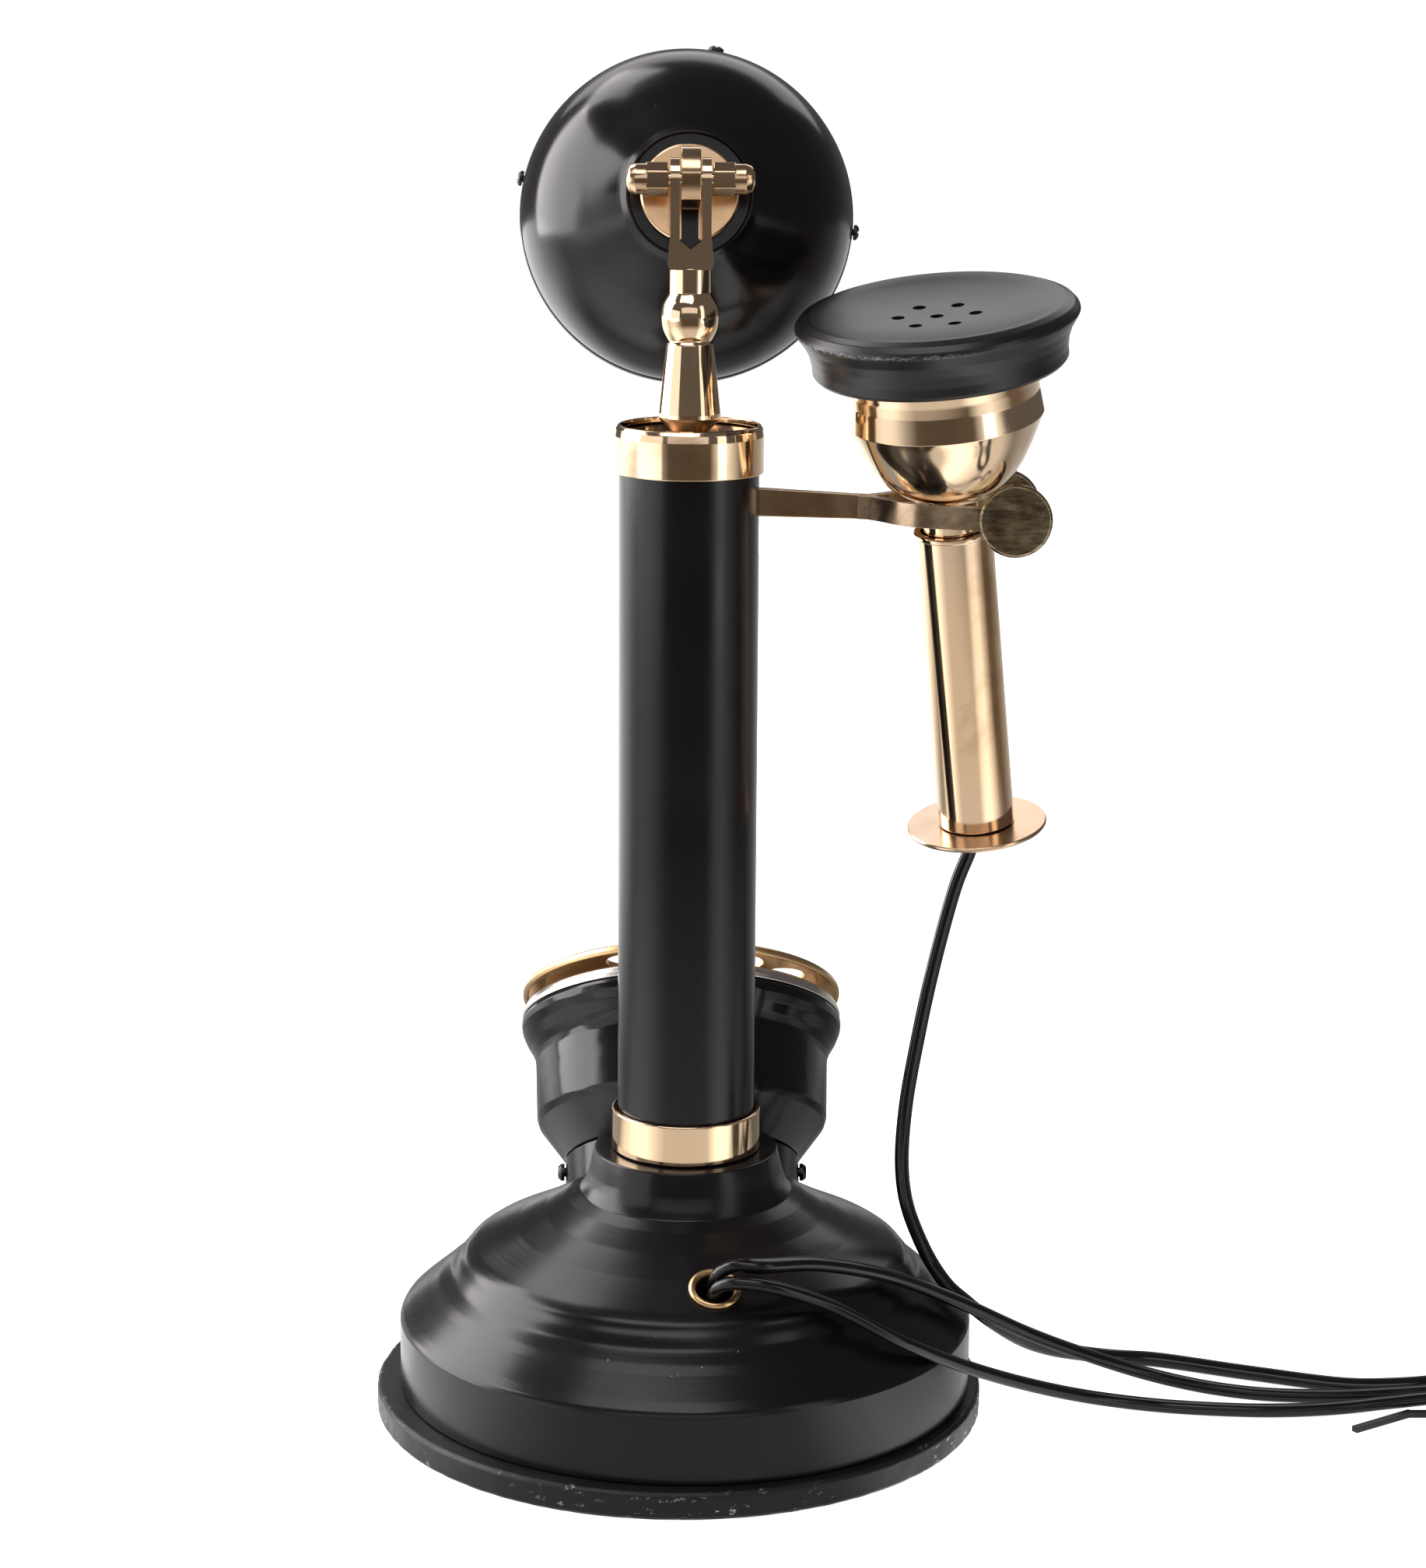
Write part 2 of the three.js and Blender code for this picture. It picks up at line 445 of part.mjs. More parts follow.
function makeDial() {
  const dial = group(0, DIAL.y, DIAL.z, DIAL.tilt);
  add("dial_can", "enamel", turned([
    [37.6, -7.3], [39, -7.3], [DIAL.bulge, -8.2], [39.2, -9.8], [38.3, -12], [36.9, -14.3], [36.1, -16.2],
    [35.8, -18], [35.4, -32], [34.8, -33.8], [DIAL.pedestal, -42.3], [6, -42.3], [6, -40.7], [27.2, -40.7],
    [33.2, -33], [34.2, -18], [34.8, -15], [36.8, -11.2], [37.6, -9.4],
  ]), dial);
  add("dial_bezel_ring", "nickel", turned([
    [34, -7], [39.2, -7], [39.2, -5.8], [38.8, -4.6], [38, -3.9], [35.4, -3.6], [34, -4.1],
  ]), dial);
  add("number_plate", "ivory", tubeRing(33.6, 2.6, -4.4, -3.6), dial);

  const wheelHoles = [rod(2.5, -3, 5)];
  for (let i = 0; i < HOLES.count; i += 1) {
    const angle = radians(HOLES.first - HOLES.pitch * i);
    const x = HOLES.circle * Math.sin(angle);
    const y = HOLES.circle * Math.cos(angle);
    wheelHoles.push(rod(HOLES.radius, -3, 5).translate(x, y, 0));
  }
  const wheel = turned([
    [0, -0.2], [37.9, -0.2], [38.2, -1.1], [39, -1.1], [DIAL.wheel, -0.4], [39.1, 0.6], [38.4, 1.1], [0, 1.3],
  ], 36);
  add("finger_wheel", "gilt", cut(wheel, ...wheelHoles), dial);
  add("dial_hub", "brass", turned([
    [0, -26], [2.2, -26], [2.2, 1.6], [13, 1.6], [13.4, 2], [12.6, 2.9], [0, 3.3],
  ], 28), dial);

  const leg = block(40.4, 0, -2, 1.4, 4, 10.4);
  const finger = block(32.2, 0, 2.6, 17.8, 4, 1.2);
  add("finger_stop", "nickel", joined(leg, finger).rotateZ(radians(DIAL.stop)), dial);

  const gearHole = rod(2.5, GEAR.low - 1, GEAR.high + 1);
  const gearBlank = prism(gearOutline(GEAR.teeth), GEAR.high - GEAR.low).translate(0, 0, GEAR.low);
  add("main_gear", "brass", cut(gearBlank, gearHole), dial);

  // The governor runs beside the main gear, half a tooth round so that the teeth are in mesh.
  const centres = ((GEAR.teeth + PINION_TEETH) * GEAR.module) / 2;
  const pinion = prism(gearOutline(PINION_TEETH), 2.6).translate(0, 0, GEAR.low - 0.3);
  pinion.rotateZ(Math.PI / PINION_TEETH);
  const governorShaft = rod(1.1, -33, -12.5, 10);
  const flyBar = block(0, 0, -29.5, 15, 4, 2);
  const governor = joined(pinion, governorShaft, flyBar).translate(centres, 0, 0);
  add("governor", "brass", governor, dial);

  const frame = tubeRing(33, 2.6, -11.5, -10, MEDIUM);
  add("dial_frame", "steel", cut(frame, rod(1.6, -15, -5).translate(centres, 0, 0)), dial);
  add("mainspring", "steel", tubeRing(10.5, 5, -17.5, -12, SMALL), dial);

  // A short neck under the can that stands on the dome, cut to the body's outline.
  const onDial = (geometry) => geometry.rotateX(radians(DIAL.tilt)).translate(0, DIAL.y, DIAL.z);
  const neck = onDial(tubeRing(DIAL.pedestal - 0.1, DIAL.pedestal - 1.9, -64, -42.6));
  const grown = BODY_OUTSIDE.map(([r, z]) => [r + 0.35, z + 0.35]);
  const body = turned([[0, -30], [WALL.radius + 0.35, -30], ...grown, [0, NECK_TOP + 0.35]]);
  const screwHoles = [];
  for (const [name, turn] of [["pedestal_screw_left", 0], ["pedestal_screw_right", Math.PI]]) {
    const place = (geometry) => onDial(alongX(geometry).rotateZ(turn).translate(0, 0, -45.3));
    screwHoles.push(place(rod(1.4, 24, 31, 12)));
    add(name, "steel", place(turned([
      [0, 25], [1.1, 25], [1.1, 28.6], [2.1, 28.6], [2.1, 29.4], [1.4, 30.2], [0, 30.2],
    ], 12)));
  }
  add("dial_pedestal", "enamel", cut(neck, body, ...screwHoles));
}

// ---------------------------------------------------------------- cords
// A cord through the listed points, with closed ends.
function cord(points, steps) {
  const path = new THREE.CatmullRomCurve3(points.map((p) => new THREE.Vector3(...p)), false, "centripetal");
  const outline = new THREE.Shape();
  for (let i = 0; i < CORD.sides; i += 1) {
    const angle = (2 * Math.PI * (i + 0.5)) / CORD.sides;
    const at = [CORD.radius * Math.cos(angle), CORD.radius * Math.sin(angle)];
    if (i === 0) outline.moveTo(...at);
    else outline.lineTo(...at);
  }
  return new THREE.ExtrudeGeometry(outline, { steps, extrudePath: path, bevelEnabled: false });
}

function coil({ x, y, inner, outer, height }) {
  const edge = 1.2;
  return turned([
    [inner + edge, COIL_FLOOR], [outer - edge, COIL_FLOOR], [outer, COIL_FLOOR + edge],
    [outer, COIL_FLOOR + height - edge], [outer - edge, COIL_FLOOR + height],
    [inner + edge, COIL_FLOOR + height], [inner, COIL_FLOOR + height - edge], [inner, COIL_FLOOR + edge],
  ], MEDIUM).translate(x, y, 0);
}

// A tie round one side of a coil, at the given angle.
function coilTie({ x, y, inner, outer, height }, angle) {
  const middle = (inner + outer) / 2;
  const width = outer - inner + 2 * GAP;
  const tall = height + 2 * GAP;
  const centre = COIL_FLOOR + height / 2;
  const hole = block(middle, 0, centre, width, 10, tall);
  const outside = block(middle, 0, centre, width + 2 * TIE.thickness, TIE.width, tall + 2 * TIE.thickness);
  return cut(outside, hole).rotateZ(radians(angle)).translate(x, y, 0);
}

function makeCords() {
  // The two cords leave the base side by side, square to the dome.
  const sideways = new THREE.Vector3(1, 0, 0).applyQuaternion(grommetTurn());
  const upSlope = new THREE.Vector3().crossVectors(sideways, DOME_NORMAL);
  const inHole = (height, side) => GROMMET.clone().addScaledVector(DOME_NORMAL, height)
    .addScaledVector(upSlope, side).toArray();

  add("receiver_cord_drop", "cord", cord([
    [-66.9, -12.9, 133.8], [-66.5, -13, 131.4], [-65.6, -12.9, 128], [-62.4, -12.6, 120.5],
    [-57.4, -11.5, 101], [-53.9, -10, 84], [-51.2, -8, 68], [-50.3, -4.5, 55.5], [-51.2, -1, 47.6],
    [-54, 1.5, 40], [-57.3, 4, 33.9], [-60.8, 7, 29.8], [-64.2, 8.5, 27.2], [-67.5, 8.2, 24.3],
    [-73.6, 4, 18.6], [-80, -3, 12.8], [-86.8, -9.4, 8.4], [-94.3, -15.2, 5], [-103, -18.6, 2.7],
    [-112.2, -19, 1.95], [-133.9, -10.3, 1.9], [-155.1, -2.6, 1.9], [-164, -0.9, 2.4], [-176, -0.6, 3.3],
    [-190, -7, 2.95], [-205.5, -15.4, 2.95],
  ], 50));
  add("receiver_cord_return", "cord", cord([
    [-192.9, -25.8, 7], [-192, -17, 7.1], [-190.4, -7, 7.1], [-187.2, 0.2, 5.9], [-182, 3.5, 4.2],
    [-176, 4, 3.3], [-164, 4.1, 2.4], [-150, 4.2, 1.9], [-135, 3, 1.9], [-122, 1, 2.9], [-109.3, 0, 5.5],
    [-95.4, 3, 11],
    [-79.3, 10, 19.5], [-62.3, 14.5, 29], [-45, 27, 39.9], [-28.1, 36, 46], [-15.2, 43.6, 48.2],
    [-10.4, 42.6, 48], [-7, 41.3, 46.2], inHole(1.4, 2), inHole(-2.8, 2),
  ], 40));
  add("line_cord", "cord", cord([
    inHole(-2.8, -2), inHole(1.4, -2), [-7, 45.3, 44.2], [-10.2, 46.9, 45.5], [-16.6, 48, 45.3],
    [-31, 44, 39.3], [-47, 41.5, 30], [-63, 31, 19.7], [-79.5, 20, 10.8], [-94, 12.6, 5], [-108.1, 10.2, 2.2],
    [-121, 11.9, 1.9], [-135.5, 13, 1.9], [-150, 11.6, 1.9], [-164, 9.2, 2.4], [-176, 8.6, 3.3],
    [-186, 9.3, 3.1], [-195.5, 10.1, 2.95],
  ], 38));
  add("receiver_cord_coil", "cord", coil(RECEIVER_COIL));
  add("line_cord_coil", "cord", coil(LINE_COIL));
  add("line_cord_tail", "cord", cord([
    [-196.4, 64.3, 9.6], [-193, 65.2, 7.6], [-187.6, 66.6, 4.5], [-182.4, 67, 3.4],
  ], 8));

  // The line plug: a clear block with a latch on top and a row of contacts.
  const housing = block(-176, 67, 3.3, 12, 9.6, 6.6);
  const latch = block(-177.4, 67, 7.4, 9.2, 3.2, 1);
  const latchRoot = block(-172.6, 67, 6.8, 1.6, 3.2, 1.6);
  add("line_plug", "plug", joined(housing, latch, latchRoot));

  add("line_coil_tie", "ebonite", coilTie(LINE_COIL, 200));
  add("receiver_coil_tie", "ebonite", coilTie(RECEIVER_COIL, 200));
  // A tie round all three cords, with its loose end on the floor beside them.
  const bundle = block(-176, 4, 3.3, TIE.width, 15.4, 6.6);
  const inside = block(-176, 4, 3.25, 5, 13.8, 4.9);
  const bend = block(-172, 12.3, 0.7, 10, 1.8, 1.4);
  const looseEnd = block(0, 0, 0.7, 18, 1.8, 1.4).rotateZ(radians(33)).translate(-160.4, 16.6, 0);
  add("bundle_tie", "ebonite", joined(cut(bundle, inside), bend, looseEnd));
}

makeBase();
makeColumn();
makePost();
makeTransmitter();
makeHook();
makeReceiver();
makeDial();
makeCords();

export default telephone;
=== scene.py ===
import math

import bmesh
import bpy
from mathutils import Matrix, Vector, noise


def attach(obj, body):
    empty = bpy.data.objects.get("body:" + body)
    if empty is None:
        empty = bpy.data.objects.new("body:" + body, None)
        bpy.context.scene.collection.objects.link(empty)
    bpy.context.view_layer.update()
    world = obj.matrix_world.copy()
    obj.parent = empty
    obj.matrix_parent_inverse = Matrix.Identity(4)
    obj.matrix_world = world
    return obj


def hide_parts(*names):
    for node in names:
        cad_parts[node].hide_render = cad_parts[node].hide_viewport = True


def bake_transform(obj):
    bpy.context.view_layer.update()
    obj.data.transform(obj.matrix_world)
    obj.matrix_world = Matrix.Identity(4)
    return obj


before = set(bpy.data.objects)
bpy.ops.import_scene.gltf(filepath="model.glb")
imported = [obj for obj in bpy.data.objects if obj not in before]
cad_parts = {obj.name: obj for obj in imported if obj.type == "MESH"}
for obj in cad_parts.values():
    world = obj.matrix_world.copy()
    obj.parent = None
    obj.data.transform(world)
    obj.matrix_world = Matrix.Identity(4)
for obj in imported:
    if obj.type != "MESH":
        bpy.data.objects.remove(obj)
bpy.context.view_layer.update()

# ---- sizes, in millimetres and degrees
MM = 0.001
ROUND = 144  # segments around a large turned piece
SHARP_FROM = 32
PLATE_RADIUS, PLATE_TOP, PLATE_SHIFT = 70, 6.3, 1.4
COLUMN_RADIUS, COLLAR_BORE = 15.65, 15.95
GROMMET_AT, GROMMET_HOLE = Vector((-5.7, 41.5, 41.7)), 4.9
DOME_NORMAL = Vector((-0.062, 0.452, 0.89)).normalized()
BOLT_Z, BOLT_RADIUS, BOLT_HOLE = 282.5, 1.5, 1.8
BOSS_DROP, TRANSMITTER_TILT, RIM_SCREW_ANGLES = 1.62, 11, (13, 100, 185)
HOOK_PIVOT, HOOK_DROOP, PIN_HOLE = Vector((5, 0, 212.2)), -2.4, 1.5
RECEIVER_AT = Vector((-58.64, 0, 209.55))
RECEIVER_LEAN = (math.sin(math.radians(6.2)), math.sin(math.radians(9.6)))
EAR_HOLE_RADIUS, EAR_HOLE_CIRCLE, EAR_HOLE_TURN = 1.5, 8.5, -8
DIAL_AT, DIAL_TILT = Vector((0, -69.5, 78)), 34
FINGER_HOLES, FINGER_HOLE_RADIUS, FINGER_HOLE_CIRCLE = 10, 5.35, 29.2
FIRST_FINGER_HOLE, FINGER_HOLE_PITCH, FIGURE_SIZE = 27, 28, 6.4

# The cords: a twin-lobed jacket, and where they cross the eyelet in the dome.
CORD_WIDTH, CORD_FLATNESS, WAIST_DEPTH = 3.7, 0.94, 0.2
EYELET_MOUTH, EYELET_DEPTH, CORD_OFFSET = 1.4, -4, 2
FLAT_ON_FLOOR = Vector((-150, 5, 1.9))
TIE_THICKNESS = 0.8
PLUG_X, PLUG_Y = -176, 67

BODY_OUTSIDE = [
    (66.0, 6.6, 0.2), (66.0, 21.8, 0.5), (65.5, 22.9, 9), (63.6, 24.6, 9), (61.2, 26.6, 9), (58.8, 28.6, 9),
    (56.8, 30.4, 9), (55.2, 31.6, 9), (54.0, 32.5, 9), (52.9, 34.2, 9), (52.2, 35.2, 9), (51.4, 36.0, 9),
    (50.6, 37.3, 9), (48.6, 38.7, 9), (45.0, 40.4, 9), (39.0, 43.3, 9), (32.5, 46.8, 9), (27.5, 50.0, 9),
    (24.3, 51.7, 1), (23.1, 53.6, 9), (22.2, 56.4, 9), (21.5, 59.6, 9), (21.0, 61.7, 0.5),
]
BODY_INSIDE = [
    (16.0, 61.7, 0.3), (16.0, 60.1, 0.2), (19.5, 60.1, 9), (22.0, 51.2, 9), (44.0, 38.9, 9), (49.2, 36.2, 9),
    (52.6, 31.4, 9), (59.8, 25.6, 9), (64.4, 20.9, 0.5), (64.4, 6.6, 0.2),
]

RECEIVER_TOP = [(-66.35, -11.95, 139.4)]
RECEIVER_CORD = [
    (-66.9, -12.8, 134.4), (-65.6, -12.9, 129), (-62.4, -12.6, 120.5),
    (-57.4, -11.5, 101), (-53.9, -10, 84), (-51.2, -8, 68), (-50.3, -4.5, 55.5), (-51.2, -1, 47.6),
    (-54, 1.5, 40), (-57.3, 4, 33.9), (-60.8, 7, 29.8), (-64.2, 8.5, 27.2), (-67.5, 8.2, 24.3),
    (-73.6, 4, 18.6), (-80, -3, 12.8), (-86.8, -9.4, 8.4), (-94.3, -15.2, 5), (-103, -18.6, 2.7),
    (-112.2, -19, 1.95), (-133.9, -10.3, 1.9), (-155.1, -2.6, 1.9), (-164, -0.9, 2.4), (-176, -0.6, 3.3),
    (-190, -7, 2.95), (-205.5, -15.6, 2.95),
]
RECEIVER_RETURN = [
    (-192.9, -25.8, 7), (-192, -17, 7.1), (-190.4, -7, 7.1), (-187.2, 0.2, 5.9), (-182, 3.5, 4.2),
    (-176, 4, 3.3), (-164, 4.1, 2.4), (-150, 4.2, 1.9), (-135, 3, 1.9), (-122, 1, 2.9),
    (-109.3, 0, 5.5), (-95.4, 3, 11), (-79.3, 10, 19.5), (-62.3, 14.5, 29), (-45, 27, 39.9),
    (-28.1, 36, 46), (-15.2, 43.6, 48.2), (-10.4, 42.6, 48), (-7, 41.3, 46.2),
]
LINE_CORD = [
    (-7, 45.3, 44.2), (-10.2, 46.9, 45.5), (-16.6, 48, 45.3), (-31, 44, 39.3), (-47, 41.5, 30),
    (-63, 31, 19.7), (-79.5, 20, 10.8), (-94, 12.6, 5), (-108.1, 10.2, 2.2), (-121, 11.9, 1.9),
    (-135.5, 13, 1.9), (-150, 11.6, 1.9), (-164, 9.2, 2.4), (-176, 8.6, 3.3), (-186, 9.3, 3.1),
    (-195.5, 10.1, 2.95),
]
LINE_TAIL = [
    (-201, 63.2, 12.2), (-196.4, 64.3, 9.6), (-193, 65.2, 7.6), (-187.6, 66.6, 4.5), (-181.6, 67, 3.4),
]
RECEIVER_COIL = {"at": (-216, -42), "radii": (23.95, 20.15), "start": 90, "turns": 2.75, "way": 1}
LINE_COIL = {"at": (-209, 37), "radii": (25.75, 22.0, 18.25), "start": 270, "turns": 11.5, "way": -1}
COIL_LEVELS = (2.95, 6.68, 10.4, 14.12)


def rotation(axis, degrees):
    return Matrix.Rotation(math.radians(degrees), 4, axis)


def translation(x, y, z):
    return Matrix.Translation((x, y, z))


# ---- camera
def make_camera():
    distance, height = 0.8086, 0.3258  # metres
    pitch, yaw, roll = 11.239, 1.1, 0.3
    data = bpy.data.cameras.new("camera")
    camera = bpy.data.objects.new("camera", data)
    bpy.context.scene.collection.objects.link(camera)
    data.lens = 84.12
    data.shift_x = 0.0159
    data.shift_y = -0.0502
    data.clip_start, data.clip_end = 0.01, 50
    aside, away = math.sin(math.radians(yaw)), math.cos(math.radians(yaw))
    camera.matrix_world = (
        translation(distance * aside, distance * away, height)
        @ rotation("Z", 180 - yaw)
        @ rotation("X", 90 - pitch)
        @ rotation("Z", roll)
    )
    bpy.context.scene.camera = camera
    bpy.context.scene.view_settings.view_transform = "Standard"


make_camera()


# ---- node materials
class Shader:
    """One node material, built around a Principled BSDF."""

    def __init__(self, name, color, roughness, metallic=0.0, **sockets):
        self.material = bpy.data.materials.new(name)
        self.material.use_nodes = True
        self.tree = self.material.node_tree
        self.bsdf = self.tree.nodes["Principled BSDF"]
        self.bsdf.inputs["Base Color"].default_value = (*color, 1)
        self.bsdf.inputs["Roughness"].default_value = roughness
        self.bsdf.inputs["Metallic"].default_value = metallic
        for socket, value in sockets.items():
            self.bsdf.inputs[socket.replace("_", " ")].default_value = value
        self.at = self.node("ShaderNodeTexCoord").outputs["Object"]
        self.material.diffuse_color = (*color, 1)

    def node(self, kind, inputs=(), **settings):
        made = self.tree.nodes.new(kind)
        for key, value in settings.items():
            setattr(made, key, value)
        for key, value in dict(inputs).items():
            self.put(value, made.inputs[key])
        return made

    def put(self, value, socket):
        if isinstance(value, bpy.types.NodeSocket):
            self.tree.links.new(value, socket)
        else:
            socket.default_value = value

    def noise(self, scale, detail=3, stretch=(1, 1, 1), rough=0.55, distortion=0.0):
        mapped = self.node("ShaderNodeMapping", {"Vector": self.at, "Scale": stretch})
        made = self.node("ShaderNodeTexNoise", {
            "Vector": mapped.outputs[0], "Scale": scale, "Detail": detail, "Roughness": rough,
            "Distortion": distortion,
        })
        return made.outputs[0]

    def spots(self, scale, size):
        cells = self.node("ShaderNodeTexVoronoi", {"Vector": self.at, "Scale": scale})
        return self.range(cells.outputs["Distance"], size, size * 0.6, 0, 1)

    def range(self, value, low, high, out_low=0.0, out_high=1.0):
        made = self.node("ShaderNodeMapRange", {
            "Value": value, "From Min": low, "From Max": high, "To Min": out_low, "To Max": out_high,
        })
        return made.outputs[0]

    def math(self, operation, a, b=0.0):
        return self.node("ShaderNodeMath", {0: a, 1: b}, operation=operation).outputs[0]

    def mix(self, factor, a, b):
        made = self.node("ShaderNodeMix", data_type="RGBA")
        self.put(factor, made.inputs[0])
        self.put((*a, 1) if isinstance(a, tuple) else a, made.inputs[6])
        self.put((*b, 1) if isinstance(b, tuple) else b, made.inputs[7])
        return made.outputs[2]

    def along(self, axis):
        """One coordinate in the object's own frame."""
        return self.node("ShaderNodeSeparateXYZ", {0: self.at}).outputs[axis]

    def radius(self):
        """Distance from the object's own Z axis."""
        x, y = self.along("X"), self.along("Y")
        return self.math("SQRT", self.math("ADD", self.math("MULTIPLY", x, x), self.math("MULTIPLY", y, y)))

    def color(self, value):
        self.put(value, self.bsdf.inputs["Base Color"])

    def roughness(self, value):
        self.put(value, self.bsdf.inputs["Roughness"])

    def mottled(self, scale, detail, low, high):
        """Roughness that varies between low and high."""
        self.roughness(self.range(self.noise(scale, detail), 0.3, 0.7, low, high))

    def bump(self, value, strength, distance):
        previous = self.bsdf.inputs["Normal"].links
        made = self.node("ShaderNodeBump", {"Height": value, "Strength": strength, "Distance": distance})
        if previous:
            self.tree.links.new(previous[0].from_socket, made.inputs["Normal"])
        self.tree.links.new(made.outputs[0], self.bsdf.inputs["Normal"])


BLACK = (0.0055, 0.005, 0.0062)


def enamel(name, roughness=0.17, peel=0.12, dust=0.05):
    s = Shader(name, BLACK, roughness, Specular_IOR_Level=0.33)
    s.mottled(38, 5, roughness * 0.8, roughness * 1.35)
    specks = s.math("MULTIPLY", s.spots(300, dust), s.range(s.noise(26, 2), 0.6, 0.63))
    s.color(s.mix(specks, BLACK, (0.32, 0.31, 0.3)))
    s.bump(s.noise(420, 3), peel, 0.00012)
    s.bump(s.noise(1500, 2, (1, 1, 0.15)), peel * 0.35, 0.00005)
    return s


def column_enamel():
    s = enamel("column_enamel", 0.2, 0.14)
    s.bump(s.noise(170, 2, (1, 1, 0.35)), 0.16, 0.0002)
    return s


def can_enamel():
    s = enamel("can_enamel", 0.13, 0.1)
    s.bump(s.noise(75, 2), 0.35, 0.0006)
    return s


def body_enamel():
    """Enamel over fine turning rings."""
    s = enamel("body_enamel", 0.22, 0.1, 0.07)
    rings = s.node("ShaderNodeTexNoise", {"Scale": 900.0, "Detail": 2.0}, noise_dimensions="1D")
    s.put(s.radius(), rings.inputs["W"])
    s.bump(rings.outputs[0], 0.12, 0.00008)
    return s


def plate_enamel():
    """Enamel that has chipped off along the rim."""
    s = enamel("plate_enamel", 0.42, 0.3, 0.1)
    edge = s.range(s.radius(), 0.0683, 0.0693)
    worn = s.range(s.noise(330, 6, (1, 1, 2.2), 0.75), 0.6, 0.64)
    where = s.range(s.noise(26, 3, (1, 1, 1), 0.6), 0.42, 0.56)
    bare = s.math("MULTIPLY", edge, s.math("MULTIPLY", worn, where))
    s.color(s.mix(bare, (0.008, 0.008, 0.009), (0.6, 0.6, 0.58)))
    s.bump(s.noise(260, 5), 0.35, 0.0004)
    return s


def brass(name, color, roughness, smudge, scratch):
    """Turned brass with brown stains and fine rings."""
    s = Shader(name, color, roughness, 1.0)
    stain = s.range(s.noise(24, 4, (1, 1, 1.6), 0.6, 0.6), 0.56, 0.72)
    brown = (color[0] * 0.6, color[1] * 0.5, color[2] * 0.38)
    warm = (color[0] * 0.97, color[1] * 0.88, color[2] * 0.74)
    tone = s.mix(s.range(s.noise(9, 3), 0.35, 0.65), color, warm)
    s.color(s.mix(s.math("MULTIPLY", stain, smudge), tone, brown))
    s.roughness(s.range(s.noise(60, 5), 0.3, 0.75, roughness * 0.65, roughness * 1.8))
    s.bump(s.noise(900, 4, (0.25, 0.25, 3)), scratch, 0.00004)
    s.bump(s.noise(70, 2), scratch * 0.9, 0.0003)
    return s


def fork_brass():
    """Brass that is streaked and dull on the end discs."""
    s = Shader("fork_brass", (0.7, 0.54, 0.36), 0.2, 1.0)
    disc = s.range(s.along("X"), -0.066, -0.0685)
    streaks = s.range(s.noise(130, 5, (1, 1, 5), 0.7, 0.4), 0.42, 0.6)
    clean = s.mix(s.range(s.noise(45, 4), 0.4, 0.6), (0.78, 0.6, 0.4), (0.5, 0.36, 0.24))
    s.color(s.mix(disc, clean, s.mix(streaks, (0.2, 0.155, 0.1), (0.46, 0.37, 0.23))))
    s.mottled(200, 4, 0.14, 0.36)
    s.bump(s.noise(700, 4, (0.3, 1, 4)), 0.5, 0.0001)
    return s


def nickel():
    s = Shader("satin_nickel", (0.66, 0.62, 0.57), 0.24, 1.0)
    s.mottled(80, 4, 0.16, 0.34)
    s.bump(s.noise(110, 3, (1, 1, 2)), 0.3, 0.0003)
    return s


def plain(name, color, roughness, metallic, mottle, bump=(), **sockets):
    """One colour, with roughness that varies and, for some, a fine bump."""
    s = Shader(name, color, roughness, metallic, **sockets)
    s.mottled(*mottle)
    if bump:
        s.bump(s.noise(*bump[:2]), *bump[2:])
    return s


def satin_ebonite():
    """The ear cap, with a worn arc on one side of its rim."""
    black = (0.009, 0.009, 0.0095)
    s = Shader("satin_ebonite", black, 0.33, Specular_IOR_Level=0.5)
    height = s.along("Z")
    band = s.math("MULTIPLY", s.range(height, 0.0436, 0.0441), s.range(height, 0.0449, 0.0445))
    side = s.range(s.along("X"), -0.008, 0.006)
    rim = s.math("MULTIPLY", s.math("MULTIPLY", band, side), s.range(s.radius(), 0.0306, 0.031))
    wear = s.math("MULTIPLY", rim, s.range(s.noise(900, 5, (1, 1, 2), 0.7), 0.46, 0.6))
    s.color(s.mix(wear, black, (0.21, 0.205, 0.2)))
    s.mottled(40, 2, 0.3, 0.36)
    s.bump(s.noise(900, 2), 0.04, 0.0001)
    return s


def ivory():
    s = Shader("ivory_enamel", (0.82, 0.78, 0.68), 0.28)
    s.color(s.mix(s.range(s.noise(40, 4), 0.4, 0.7), (0.84, 0.8, 0.7), (0.74, 0.68, 0.55)))
    return s


def board_green():
    s = Shader("circuit_board_green", (0.03, 0.16, 0.07), 0.45)
    traces = s.range(s.noise(220, 1, (1, 0.2, 1)), 0.56, 0.58)
    s.color(s.mix(traces, (0.03, 0.16, 0.07), (0.08, 0.3, 0.13)))
    return s


def pale_floor():
    s = Shader("pale_floor", (0.8, 0.8, 0.8), 0.7, Specular_IOR_Level=0.1)
    s.color(s.mix(s.noise(3, 2), (0.79, 0.79, 0.79), (0.81, 0.81, 0.81)))
    s.bsdf.inputs["Emission Color"].default_value = (1, 1, 1, 1)
    s.bsdf.inputs["Emission Strength"].default_value = 0.94
    return s


